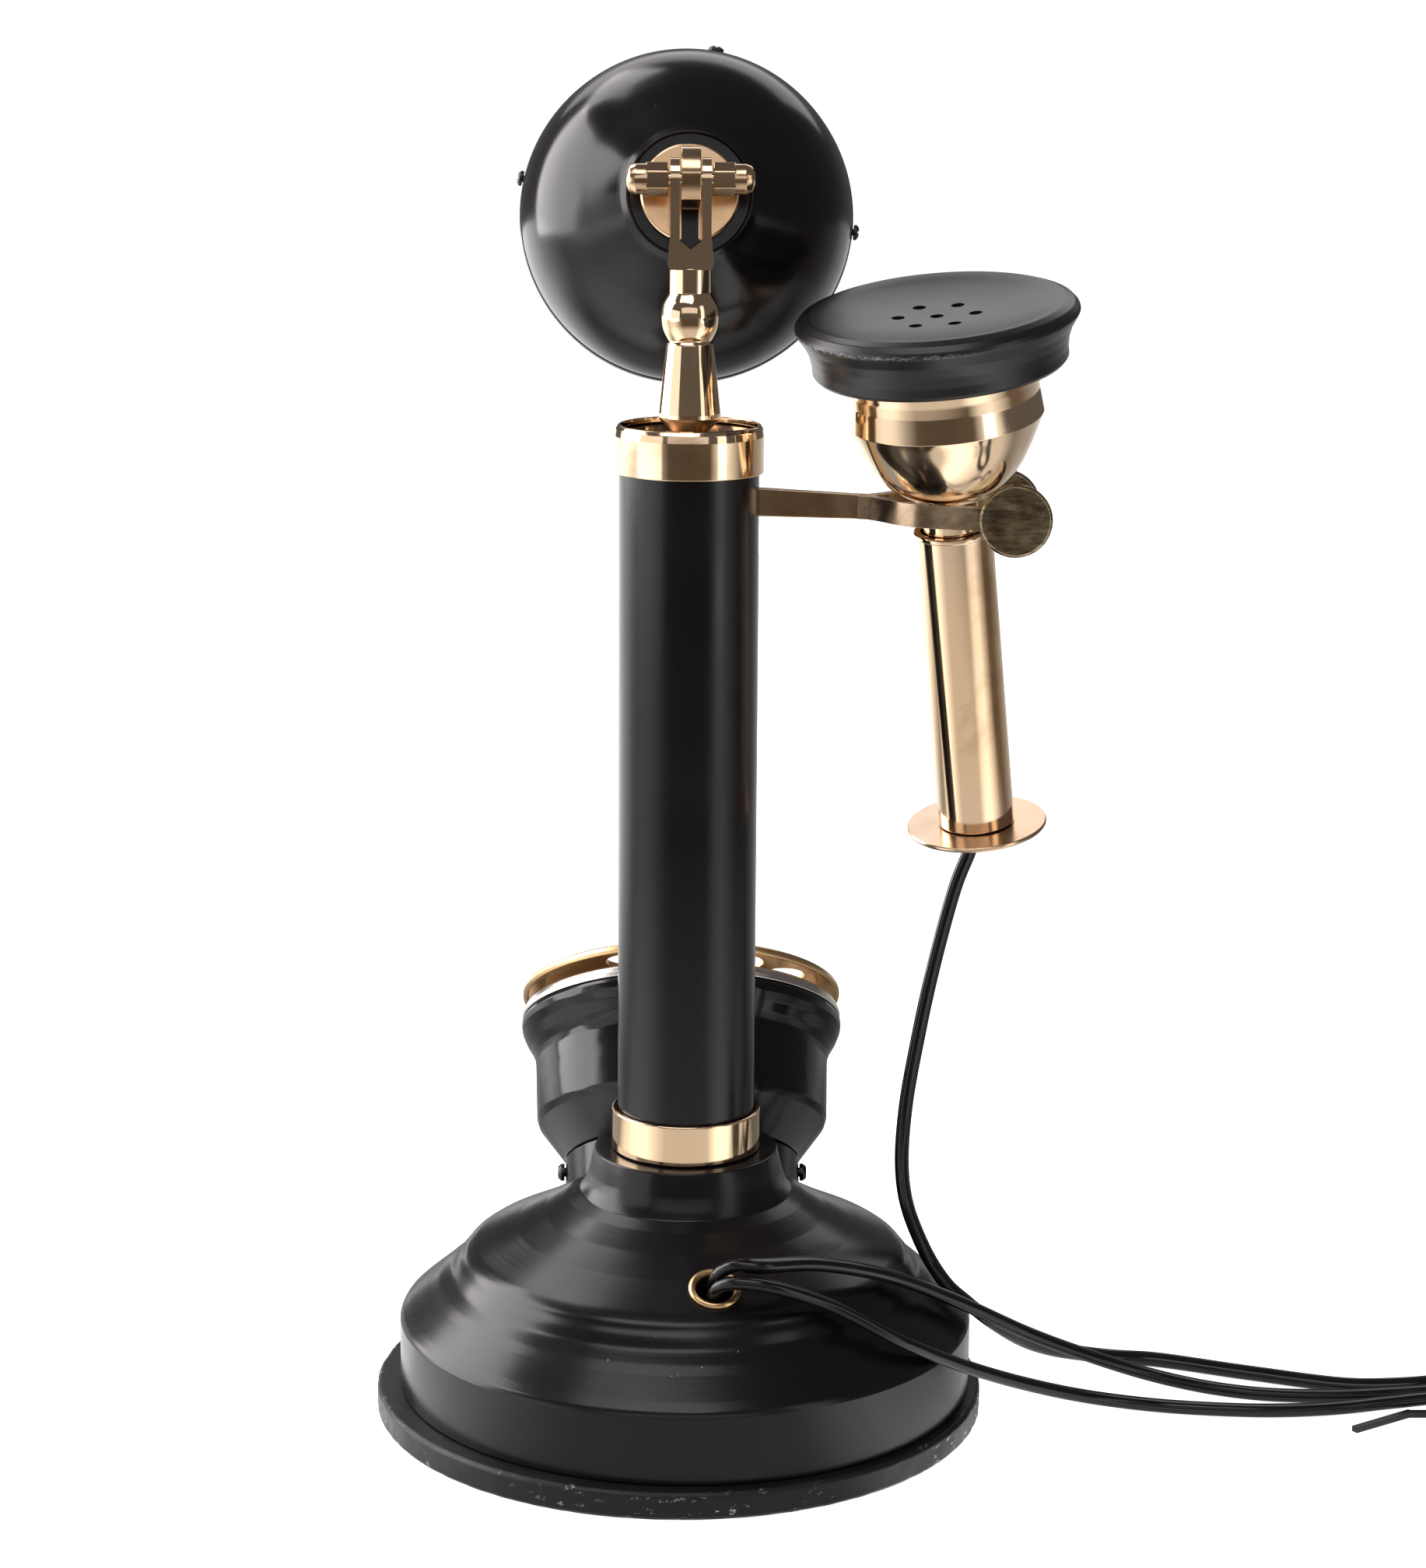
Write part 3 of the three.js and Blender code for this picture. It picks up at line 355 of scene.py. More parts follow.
def reflector_card():
    """A glowing card: its light goes by the bearing, with more close by and less close behind."""
    s = Shader("reflector_card", (0, 0, 0), 1.0, Specular_IOR_Level=0.0)
    bearing = s.math("ARCTAN2", s.along("X"), s.along("Y"))
    ramp = s.node("ShaderNodeValToRGB")
    s.put(s.range(bearing, -math.pi, math.pi), ramp.inputs[0])
    elements = ramp.color_ramp.elements
    elements[0].position = 0
    elements[1].position = 1
    for degrees, _ in CARD_LEVELS[1:-1]:
        elements.new((degrees + 180) / 360)
    for element, (_, level) in zip(elements, CARD_LEVELS):
        tint = (1, 1, 1) if level > 0.3 else (1, 0.8, 0.64)
        element.color = (*(level / 2 * part for part in tint), 1)
    doubled = s.node("ShaderNodeVectorMath", {0: ramp.outputs[0], 1: (2, 2, 2)}, operation="MULTIPLY")
    near = s.range(s.radius(), 0.3, 0.6, 0.65, 0)
    glow = s.node("ShaderNodeVectorMath", {0: doubled.outputs[0], 1: near}, operation="ADD")
    s.put(glow.outputs[0], s.bsdf.inputs["Emission Color"])
    beside = s.range(s.radius(), 0.3, 0.6, 0.85, 0)
    shaded = s.math("MULTIPLY", s.range(s.along("Y"), -0.02, -0.12), beside)
    s.put(s.math("SUBTRACT", 1.0, shaded), s.bsdf.inputs["Emission Strength"])
    return s


# The card's brightness at each bearing in degrees, where 0 is +Y and 90 is +X.
CARD_LEVELS = [
    (-180, 1), (-138, 0.45), (-100, 0.16), (-85, 0.16), (-66, 0.9), (-57, 1.3), (-44, 1), (-31, 0.12),
    (0, 0.1), (33, 0.11), (49, 0.5), (64, 1.1), (80, 1.2), (98, 0.85), (120, 1.9), (156, 1.9), (180, 1),
]
SHADERS = {
    "enamel": enamel("black_enamel"),
    "column": column_enamel(),
    "can": can_enamel(),
    "body": body_enamel(),
    "plate": plate_enamel(),
    "brass": brass("polished_brass", (0.85, 0.66, 0.46), 0.08, 0.35, 0.06),
    "old_brass": brass("worn_brass", (0.68, 0.5, 0.33), 0.16, 0.8, 0.2),
    "fork": fork_brass(),
    "tube": brass("tube_brass", (0.83, 0.65, 0.48), 0.08, 0.85, 0.08),
    "bronze": brass("bronzed_cap", (0.3, 0.215, 0.16), 0.25, 0.6, 0.1),
    "rosy_brass": brass("flange_brass", (0.78, 0.61, 0.46), 0.2, 0.5, 0.1),
    "gilt": brass("gilt_brass", (0.74, 0.5, 0.26), 0.24, 0.4, 0.1),
    "nickel": nickel(),
    "steel": plain("zinc_steel", (0.46, 0.46, 0.47), 0.38, 1, (200, 4, 0.28, 0.5), (700, 3, 0.1, 0.0001)),
    "dark_steel": plain("blackened_steel", (0.06, 0.055, 0.055), 0.32, 1, (300, 4, 0.22, 0.45)),
    "cap": satin_ebonite(),
    "ebonite": plain(
        "black_ebonite", (0.01, 0.01, 0.011), 0.34, 0, (120, 4, 0.26, 0.44), (900, 3, 0.08, 0.0001)),
    "ivory": ivory(),
    "board": board_green(),
    "cord": plain(
        "cord_jacket", (0.0055, 0.005, 0.0055), 0.2, 0, (120, 2, 0.15, 0.24), (500, 1, 0.03, 0.00006),
        Specular_IOR_Level=0.4),
    "plug": plain(
        "clear_plug", (0.86, 0.86, 0.84), 0.12, 0, (300, 2, 0.08, 0.2), Transmission_Weight=0.6, IOR=1.5),
    "floor": pale_floor(),
    "card": reflector_card(),
}
MATERIALS = {key: shader.material for key, shader in SHADERS.items()}


# ---- mesh helpers
def softened(points, closed):
    """Rounds the corners of an outline of (a, b, radius), and returns plain (a, b) points."""
    out = []
    count = len(points)
    for i, point in enumerate(points):
        here = Vector(point[:2])
        radius = point[2] if len(point) > 2 else 0.15
        if not closed and i in (0, count - 1) or radius <= 0:
            out.append(here)
            continue
        before = Vector(points[i - 1][:2]) - here
        after = Vector(points[(i + 1) % count][:2]) - here
        turn = math.pi - before.angle(after)
        if turn < 1e-3:
            out.append(here)
            continue
        reach = min(radius * math.tan(turn / 2), 0.499 * before.length, 0.499 * after.length)
        a = here + before.normalized() * reach
        b = here + after.normalized() * reach
        steps = max(2, min(6, round(math.degrees(turn) / 12) + 1))
        for k in range(steps + 1):
            t = k / steps
            out.append(a * (1 - t) ** 2 + here * (2 * t * (1 - t)) + b * t * t)
    return out


def smooth_path(points, step=1.6):
    """A centripetal curve through the points, at an even spacing."""
    pts = [Vector(p) for p in points]
    pts = [2 * pts[0] - pts[1]] + pts + [2 * pts[-1] - pts[-2]]
    fine = []
    for i in range(1, len(pts) - 2):
        p = pts[i - 1:i + 3]
        t = [0.0]
        for a, b in zip(p, p[1:]):
            t.append(t[-1] + max((b - a).length, 1e-6) ** 0.5)
        parts = 24
        for k in range(parts):
            u = t[1] + (t[2] - t[1]) * k / parts
            a = [p[j] * ((t[j + 1] - u) / (t[j + 1] - t[j])) + p[j + 1] * ((u - t[j]) / (t[j + 1] - t[j]))
                 for j in range(3)]
            b = [a[j] * ((t[j + 2] - u) / (t[j + 2] - t[j])) + a[j + 1] * ((u - t[j]) / (t[j + 2] - t[j]))
                 for j in range(2)]
            fine.append(b[0] * ((t[2] - u) / (t[2] - t[1])) + b[1] * ((u - t[1]) / (t[2] - t[1])))
    fine.append(pts[-2])
    even, left = [fine[0]], 0.0
    for a, b in zip(fine, fine[1:]):
        left += (b - a).length
        if left >= step:
            even.append(b)
            left = 0.0
    if (even[-1] - fine[-1]).length > 0.3:
        even.append(fine[-1])
    return even


def flowing(points):
    """A smooth outline through the points."""
    return [(p.x, p.y, 0) for p in smooth_path([(*point, 0) for point in points], 1.1)]


def new_object(name, mesh):
    obj = bpy.data.objects.new(name, mesh)
    bpy.context.scene.collection.objects.link(obj)
    return obj


def from_faces(name, verts, faces):
    mesh = bpy.data.meshes.new(name)
    mesh.from_pydata([tuple(c * MM for c in v) for v in verts], [], faces)
    bm = bmesh.new()
    bm.from_mesh(mesh)
    bmesh.ops.remove_doubles(bm, verts=bm.verts, dist=1e-7)
    bmesh.ops.recalc_face_normals(bm, faces=bm.faces)
    bm.to_mesh(mesh)
    bm.free()
    for polygon in mesh.polygons:
        polygon.use_smooth = True
    return new_object(name, mesh)


def lathe(name, profile, segments=ROUND):
    """A solid of revolution about Z from an outline that closes, or that starts and ends on the axis."""
    on_axis = profile[0][0] == 0 and profile[-1][0] == 0
    outline = softened(profile, not on_axis)
    verts, faces = [], []
    for k in range(segments):
        angle = 2 * math.pi * k / segments
        c, s = math.cos(angle), math.sin(angle)
        verts += [(p[0] * c, p[0] * s, p[1]) for p in outline]
    count = len(outline)
    spans = count - 1 if on_axis else count
    for k in range(segments):
        near, far = k * count, ((k + 1) % segments) * count
        for i in range(spans):
            j = (i + 1) % count
            face = [near + i, near + j, far + j, far + i]
            if on_axis and i == 0:
                face = [near, near + 1, far + 1]
            if on_axis and i == spans - 1:
                face = [near + i, near + j, far + i]
            faces.append(face)
    return from_faces(name, verts, faces)


def rod(name, radius, low, high, segments=32):
    """A plain cylinder along Z, mostly for cutting holes."""
    return lathe(name, [(0, low), (radius, low, 0), (radius, high, 0), (0, high)], segments)


def slab(name, outline, low, high, bevel=0.0):
    """An outline in XY, drawn up from low to high."""
    flat = softened([(*p[:2], p[2] if len(p) > 2 else 0) for p in outline], True)
    count = len(flat)
    verts = [(*p, low) for p in flat] + [(*p, high) for p in flat]
    faces = [list(range(count)), list(range(count, 2 * count))]
    faces += [[i, (i + 1) % count, count + (i + 1) % count, count + i] for i in range(count)]
    obj = from_faces(name, verts, faces)
    if bevel:
        bevelled(obj, bevel)
    return obj


def box(name, centre, size, bevel=0.0):
    x, y, z = centre
    w, d, h = (s / 2 for s in size)
    return slab(name, [(x - w, y - d), (x + w, y - d), (x + w, y + d), (x - w, y + d)], z - h, z + h, bevel)


def baked(obj):
    """Writes an object's modifiers into its mesh."""
    depsgraph = bpy.context.evaluated_depsgraph_get()
    mesh = bpy.data.meshes.new_from_object(obj.evaluated_get(depsgraph))
    obj.modifiers.clear()
    obj.data = mesh
    return obj


def bevelled(obj, width, angle=35):
    """Rounds the edges that turn by more than an angle in degrees."""
    made = obj.modifiers.new("bevel", "BEVEL")
    made.width = width * MM
    made.segments = 2
    made.limit_method = "ANGLE"
    made.angle_limit = math.radians(angle)
    return baked(obj)


def combined(obj, operation, *tools):
    """Adds, cuts away or keeps to the tools, which are used up."""
    for tool in tools:
        made = obj.modifiers.new("boolean", "BOOLEAN")
        made.operation = operation
        made.solver = "EXACT"
        made.object = tool
        bpy.context.view_layer.update()
        baked(obj)
        bpy.data.objects.remove(tool)
    return obj


def slotted(screw, top, depth):
    """Cuts a driver's groove across a screw's head."""
    return combined(screw, "DIFFERENCE", box("groove", (0, 0, top), (6, 0.5, depth)))


def in_metres(matrix):
    scaled = matrix.copy()
    scaled.translation = scaled.translation * MM
    return scaled


def moved(obj, matrix):
    """Moves an object's points, leaving its own frame where it is."""
    obj.data.transform(in_metres(matrix))
    return obj


def turned_x(obj):
    """A piece made along Z, laid along X."""
    return moved(obj, rotation("Y", 90))


def upright(obj, across):
    """Turns a slab from the XY plane to stand in the XZ plane, or across it in the YZ plane."""
    moved(obj, rotation("X", 90))
    if across:
        moved(obj, rotation("Z", 90))
    return obj


def done(obj, material, body, node, matrix=Matrix.Identity(4)):
    """Finishes a piece: its shading, material, place, body and the CAD node that it stands for."""
    for polygon in obj.data.polygons:
        polygon.use_smooth = True
    obj.data.set_sharp_from_angle(angle=math.radians(SHARP_FROM))
    weighted = obj.modifiers.new("normals", "WEIGHTED_NORMAL")
    weighted.weight = 80
    weighted.keep_sharp = True
    obj.data.materials.clear()
    obj.data.materials.append(MATERIALS[material])
    obj.matrix_world = in_metres(matrix)
    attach(obj, body)
    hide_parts(node)
    return obj


def leaned_to(axis):
    """The shortest turn that brings Z onto an axis."""
    return Vector((0, 0, 1)).rotation_difference(axis).to_matrix().to_4x4()


# Each group's own frame.
AT_BOLT = translation(0, 0, BOLT_Z)
AT_HEAD = AT_BOLT @ rotation("X", TRANSMITTER_TILT)
BOSS = translation(0, 0, -BOSS_DROP) @ rotation("X", 90)
AT_TRANSMITTER = AT_HEAD @ BOSS
AT_HOOK = translation(*HOOK_PIVOT) @ rotation("Y", HOOK_DROOP)
AT_DIAL = translation(*DIAL_AT) @ rotation("X", DIAL_TILT)
RECEIVER_AXIS = Vector((*RECEIVER_LEAN, math.sqrt(1 - sum(c * c for c in RECEIVER_LEAN))))
AT_RECEIVER = translation(*RECEIVER_AT) @ leaned_to(RECEIVER_AXIS)
AT_GROMMET = translation(*GROMMET_AT) @ leaned_to(DOME_NORMAL)


# ---- cords
def coil_points(coil):
    """Turns beside and on each other, shifting over by one cord in the last fifth of each turn."""
    cx, cy = coil["at"]
    order = []
    for level, z in enumerate(COIL_LEVELS):
        radii = coil["radii"] if level % 2 == 0 else coil["radii"][::-1]
        order += [(r, z) for r in radii]
    per_turn = 28
    out = []
    for k in range(round(coil["turns"] * per_turn) + 1):
        whole, part = divmod(k / per_turn, 1)
        here, after = order[int(whole)], order[min(int(whole) + 1, len(order) - 1)]
        share = max(0.0, (part - 0.8) / 0.2)
        share = share * share * (3 - 2 * share)
        r = here[0] + (after[0] - here[0]) * share
        z = here[1] + (after[1] - here[1]) * share
        angle = math.radians(coil["start"]) + coil["way"] * 2 * math.pi * k / per_turn
        out.append((cx + r * math.cos(angle), cy + r * math.sin(angle), z))
    return out


def cord_section():
    """A twin-lobed section, wider than it is thick."""
    sides = 16
    out = []
    for k in range(sides):
        angle = 2 * math.pi * k / sides
        across, through = math.cos(angle), math.sin(angle)
        waist = 1 - WAIST_DEPTH * (1 - across * across) ** 3
        out.append((CORD_WIDTH / 2 * across, CORD_WIDTH / 2 * CORD_FLATNESS * through * waist))
    return out


def cord_mesh(name, path):
    """A tube along a path, turned so that its wide side lies flat where it crosses the floor."""
    count = len(path)
    flat_at = min(range(count), key=lambda i: (path[i] - FLAT_ON_FLOOR).length)
    tangents = [(path[min(i + 1, count - 1)] - path[max(i - 1, 0)]).normalized() for i in range(count)]
    normal = tangents[0].orthogonal().normalized()
    normals = [normal]
    for a, b in zip(tangents, tangents[1:]):
        normal = a.rotation_difference(b) @ normal
        normal = (normal - b * normal.dot(b)).normalized()
        normals.append(normal)
    side = normals[flat_at].cross(tangents[flat_at])
    up = Vector((0, 0, 1))
    twist = math.atan2(up.dot(side), up.dot(normals[flat_at]))
    section = cord_section()
    verts, faces = [], []
    for p, t, n in zip(path, tangents, normals):
        s = n.cross(t)
        thick = n * math.cos(twist) + s * math.sin(twist)
        wide = thick.cross(t)
        verts += [tuple(p + wide * a + thick * b) for a, b in section]
    sides = len(section)
    for i in range(count - 1):
        for k in range(sides):
            m = (k + 1) % sides
            faces.append([i * sides + k, i * sides + m, (i + 1) * sides + m, (i + 1) * sides + k])
    faces.append(list(range(sides)))
    faces.append([(count - 1) * sides + k for k in range(sides)])
    return from_faces(name, verts, faces)


def in_hole(height, side):
    """A point on the eyelet's axis at a height above the dome, or to one side of it, up the slope."""
    sideways = leaned_to(DOME_NORMAL) @ Vector((1, 0, 0))
    up_slope = sideways.cross(DOME_NORMAL)
    return tuple(GROMMET_AT + DOME_NORMAL * height + up_slope * side)


def make_cords():
    line_exit = in_hole(EYELET_MOUTH, -CORD_OFFSET)
    receiver_path = smooth_path([
        *RECEIVER_TOP, *RECEIVER_CORD, *coil_points(RECEIVER_COIL)[1:], *RECEIVER_RETURN,
        in_hole(EYELET_MOUTH, CORD_OFFSET), in_hole(EYELET_DEPTH, CORD_OFFSET),
    ])
    line_path = smooth_path([
        in_hole(EYELET_DEPTH, -CORD_OFFSET), line_exit, *LINE_CORD, *coil_points(LINE_COIL), *LINE_TAIL,
    ])
    receiver = cord_mesh("receiver_cord_all", receiver_path)
    line = cord_mesh("line_cord_all", line_path)
    plug = make_plug()
    line_tie = make_coil_tie("line_tie", "line_coil_tie", LINE_COIL, 14.9)
    receiver_tie = make_coil_tie("receiver_tie", "receiver_coil_tie", RECEIVER_COIL, 7.5)
    bundle_tie = make_bundle_tie()
    for obj in (receiver, line):
        obj.data.materials.append(MATERIALS["cord"])
    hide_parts("receiver_cord_drop", "receiver_cord_return", "receiver_cord_coil")
    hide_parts("line_cord", "line_cord_coil", "line_cord_tail")
    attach(line, "base")
    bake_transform(receiver)


def make_plug():
    """A small modular plug: housing, latch and four grooves."""
    housing = box("housing", (PLUG_X, PLUG_Y, 3.3), (12, 9.6, 6.6), 0.3)
    latch = box("latch", (PLUG_X - 1.4, PLUG_Y, 7.4), (9.2, 3.2, 1), 0.2)
    root = box("latch_root", (PLUG_X + 3.4, PLUG_Y, 6.8), (1.6, 3.2, 1.7), 0.2)
    plug = combined(housing, "UNION", latch, root)
    plug.name = "modular_plug"
    grooves = [
        box("groove", (PLUG_X + 4.2, PLUG_Y + 1.3 * k, 6.4), (4.2, 0.7, 1.2)) for k in (-1.5, -0.5, 0.5, 1.5)
    ]
    combined(plug, "DIFFERENCE", *grooves)
    return done(plug, "plug", "base", "line_plug")


def make_coil_tie(name, node, coil, height):
    """A band around one side of a coil."""
    inner, outer = min(coil["radii"]), max(coil["radii"])
    middle, width = (inner + outer) / 2, outer - inner + CORD_WIDTH + 0.6
    outline = [(width / 2, height / 2 + 0.3), (-width / 2, height / 2 + 0.3)]
    outline += [(-a, -b) for a, b in outline]
    thick = TIE_THICKNESS
    outside = [(a + math.copysign(thick, a), b + math.copysign(thick, b), 1.6) for a, b in outline]
    band = slab(name, outside, -1, 1)
    combined(band, "DIFFERENCE", slab("hole", [(a, b, 1) for a, b in outline], -2, 2))
    bevelled(band, 0.2)
    centre = translation(*coil["at"], 1.1 + height / 2)
    moved(band, centre @ rotation("Z", 200) @ translation(middle, 0, 0) @ rotation("X", 90))
    return done(band, "ebonite", "base", node)


def make_bundle_tie():
    """A band around the cords on the floor, with its loose end bent away."""
    band = slab("bundle_tie_band", [(-7.7, 0, 1.6), (7.7, 0, 1.6), (7.7, 6.6, 1.6), (-7.7, 6.6, 1.6)], -1, 1)
    hole = slab("hole", [(-6.9, 0.8, 1), (6.9, 0.8, 1), (6.9, 5.7, 1), (-6.9, 5.7, 1)], -2, 2)
    combined(band, "DIFFERENCE", hole)
    moved(band, translation(-176, 4, 0) @ rotation("Z", 90) @ rotation("X", 90))
    bend = box("bend", (-172, 12.3, 0.7), (10, 1.8, 1.4), 0.2)
    end = box("end", (0, 0, 0.7), (18, 1.8, 1.4), 0.2)
    moved(end, translation(-160.4, 16.6, 0) @ rotation("Z", 33))
    combined(band, "UNION", bend, end)
    return done(band, "ebonite", "base", "bundle_tie")


make_cords()


# ---- base
def roughened(obj, radius, amount, scale):
    """Small dents in the rim of a turned piece, outside the given radius."""
    for vertex in obj.data.vertices:
        reach = math.hypot(vertex.co.x, vertex.co.y)
        if reach > radius * MM:
            dent = noise.noise(vertex.co * scale) + 0.5 * noise.noise(vertex.co * scale * 2.7)
            vertex.co.xy *= 1 - amount * MM * max(0.0, dent) / reach


def make_base():
    edge, top = PLATE_RADIUS, PLATE_TOP
    plate = lathe("plate", [
        (0, 0), (60, 0, 0), (edge - 0.8, 0, 0.5), (edge, 0.8, 0.6), (edge, 2.2, 0), (edge, 3.6, 0),
        (edge, 4.8, 0), (edge, top - 0.8, 0.8), (edge - 0.8, top, 0.8), (66.5, top, 0), (0, top),
    ], 256)
    roughened(plate, edge - 1, 0.35, 260)
    done(plate, "plate", "base", "base_plate", translation(PLATE_SHIFT, 0, 0))

    shell = lathe("shell", BODY_OUTSIDE + BODY_INSIDE, 192)
    combined(shell, "DIFFERENCE", moved(rod("hole", GROMMET_HOLE, -8, 8, 48), AT_GROMMET))
    done(shell, "body", "base", "base_shell")

    eyelet = lathe("eyelet", [
        (4.1, -3.2, 0.1), (4.5, -3.2, 0.1), (4.5, 0.4, 0), (5.9, 0.3, 0.2), (5.8, 1, 0.5), (5, 1.5, 0.6),
        (4.1, 0.8, 0.7),
    ], 64)
    done(eyelet, "gilt", "base", "cord_grommet", AT_GROMMET)


# ---- column
def make_column():
    outside, bore = COLUMN_RADIUS, COLLAR_BORE
    tube = lathe("column", [(14, 46, 0.1), (outside, 46, 0.1), (outside, 225, 0.2), (14, 225, 0.1)], 128)
    combined(tube, "DIFFERENCE", box("slot", (-outside, 0, 208.5), (6, 4.4, 18), 0.3))
    done(tube, "column", "base", "column_tube")
    collar = lathe("collar", [(bore, 62, 0.1), (17, 62, 0.35), (17, 71.35, 0.45), (bore, 71.35, 0.15)], 128)
    done(collar, "brass", "base", "lower_collar")
    done(lathe("ring", [
        (bore, 218, 0.1), (16.6, 218, 0.3), (16.6, 226.2, 0.5), (16.35, 227.8, 0.6), (15.85, 228.6, 0.4),
        (15.3, 228.8, 0.2), (15.2, 227.5, 0.2), (bore, 225.6, 0.2),
    ], 128), "brass", "base", "top_ring")
    done(lathe("cap", [
        (3.2, 227, 0.1), (14.8, 227, 0.3), (14.8, 225.4, 0.1), (13.6, 225.4, 0.1), (13.6, 221, 0.1),
        (11.6, 221, 0.1), (11.6, 225.4, 0.1), (3.2, 225.4, 0.1),
    ], 96), "bronze", "base", "top_cap")


# ---- transmitter post and its hinge
def make_post():
    post = lathe("post", [
        (0, 219), (2.9, 219, 0.1), (2.9, 227.3, 0.1), (4.4, 227.3, 0.2), (6.9, 230, 0.6), (6.9, 231.2, 0.5),
        (5.2, 246.6, 0.8), (4.7, 247.2, 0.3),
        *flowing([(5, 247.6), (6, 249.6), (6.45, 252.4), (6, 255.4), (4.9, 257.3)]),
        (4.7, 257.8, 0.3), (4.7, 263.2, 0.2), (0, 265),
    ], 96)
    depthwise = [(-4.6, 263), (4.6, 263), (4.3, 270), (4.3, BOLT_Z)]
    steps = 24
    for i in range(1, steps):
        angle = math.pi * i / steps
        depthwise.append((4.3 * math.cos(angle), BOLT_Z + 4.7 * math.sin(angle)))
    depthwise += [(-4.3, BOLT_Z), (-4.3, 270)]
    fork = upright(slab("fork", depthwise, -7, 7), True)
    widthwise = [(-4.6, 262.9), (4.6, 262.9), (5.1, 264.3, 0.6), (4.5, 271, 2), (4.5, 290), (-4.5, 290),
                 (-4.5, 271, 2), (-5.1, 264.3, 0.6)]
    combined(fork, "INTERSECT", upright(slab("width", widthwise, -7, 7), False))
    gap = [(-2.45, 269.3), (0, 267.4), (2.45, 269.3), (2.45, 300), (-2.45, 300)]
    slot = upright(slab("slot", gap, -10, 10), False)
    eye = moved(turned_x(rod("eye", BOLT_HOLE, -10, 10)), AT_BOLT)
    combined(post, "UNION", fork)
    combined(post, "DIFFERENCE", slot, eye)
    bevelled(post, 0.22, 40)
    done(post, "brass", "base", "transmitter_post")


def make_bolt():
    """The hinge bolt, with an acorn nut at each end."""
    rounded = [(0, -12), (BOLT_RADIUS, -12, 0.2), (BOLT_RADIUS, 12, 0.2), (0, 12)]
    bolt = turned_x(lathe("bolt", rounded, 32))
    done(bolt, "old_brass", "base", "hinge_bolt", AT_BOLT)
    for side, name in ((1, "acorn_nut_left"), (-1, "acorn_nut_right")):
        nut = rod("nut", 3.8, 4.9, 9.9, 6)
        bevelled(nut, 0.35, 20)
        combined(nut, "UNION", lathe("dome", [
            (0, 9.6), (3.4, 9.6, 0), (3.4, 12.1, 1.2), (2.9, 13.5, 1.2), (1.6, 14.1, 1), (0, 14.2),
        ], 48))
        turned_x(nut)
        if side < 0:
            moved(nut, rotation("Z", 180))
        done(nut, "old_brass", "base", name, AT_BOLT)


# ---- transmitter
def make_lug():
    """The tongue in the fork, with a disc and a stem that carry the transmitter's back."""
    tongue = [(-10.5, -5.2), (4.6, -5.2), (6.4, -3.2)]
    radius, steps = 7.2, 16
    for i in range(steps + 1):
        angle = math.pi / 2 * i / steps
        tongue.append((radius * math.cos(angle), radius * math.sin(angle)))
    tongue.append((-10.5, radius))
    lug = upright(slab("tongue", tongue, -2.15, 2.15, 0.25), True)
    disc = lathe("disc", [(0, 9.5), (10.6, 9.5, 0.3), (11, 10, 0.3), (11, 12, 0.2), (0, 12)], 96)
    stem = lathe("stem", [(0, 11.5), (3, 11.5, 0), (3, 18, 0.2), (0, 18)], 32)
    combined(lug, "UNION", moved(disc, BOSS), moved(stem, BOSS))
    notch = box("notch", (0, -9.5, -10), (3.8, 8, 9.2))
    combined(lug, "DIFFERENCE", notch, turned_x(rod("eye", BOLT_HOLE, -6, 6)))
    done(lug, "old_brass", "transmitter", "transmitter_lug", AT_HEAD)


def make_transmitter_case():
    """The back cup, the bezel ring with its screws, and the face."""
    back = flowing([
        (15.6, 13), (18, 14.8), (21.9, 18), (26.6, 22.1), (31, 27), (34.6, 33), (37, 40), (38.2, 46),
        (38.4, 48.6),
    ])
    done(lathe("back", [
        (3.4, 12.3, 0.1), (13.4, 12.3, 0.1), (13.8, 11.2, 0.5), (15.2, 12.6, 0.8), *back,
        (38.4, 49, 0.1), (37, 49, 0.1), (35.6, 40.6, 5), (33.2, 33.8, 5), (28, 26.2, 5), (16.6, 17.6, 1),
        (13.8, 14, 0.5), (3.4, 14, 0.1),
    ]), "enamel", "transmitter", "transmitter_back", AT_TRANSMITTER)
    bezel = lathe("bezel", [
        (36.4, 49.3, 0.1), (38.6, 49.3, 0.25), (38.8, 50.5, 0.5), (38.6, 54.4, 0.8), (37.4, 55.4, 0.8),
        (34, 55.4, 0.3), (34, 54.4, 0.1), (36.4, 54.2, 0.3),
    ])
    holes = []
    for i, angle in enumerate(RIM_SCREW_ANGLES):
        place = translation(0, 0, 52) @ rotation("Z", angle) @ rotation("Y", 90)
        holes.append(moved(rod("way", 1.1, 34, 42, 24), place))
        screw = lathe("rim_screw", [
            (0, 35.4), (0.8, 35.4, 0.1), (0.8, 39.1, 0.05), (1.8, 39.1, 0.15), (1.8, 39.8, 0.3),
            (1.1, 40.3, 0.3), (0, 40.3),
        ], 32)
        moved(slotted(screw, 40.3, 0.8), place)
        done(screw, "ebonite", "transmitter", f"rim_screw_{i + 1}", AT_TRANSMITTER)
    combined(bezel, "DIFFERENCE", *holes)
    done(bezel, "enamel", "transmitter", "transmitter_bezel", AT_TRANSMITTER)
    done(lathe("face", [
        (9.6, 57.2, 0.1), (9.6, 58.8, 0.3), (20, 58.6, 6), (33.6, 56.4, 0.6), (33.6, 54, 0.1),
        (33, 52.4, 0.2), (31, 52.4, 0.1), (31, 55.2, 0.3), (20, 57, 5),
    ]), "enamel", "transmitter", "transmitter_face", AT_TRANSMITTER)


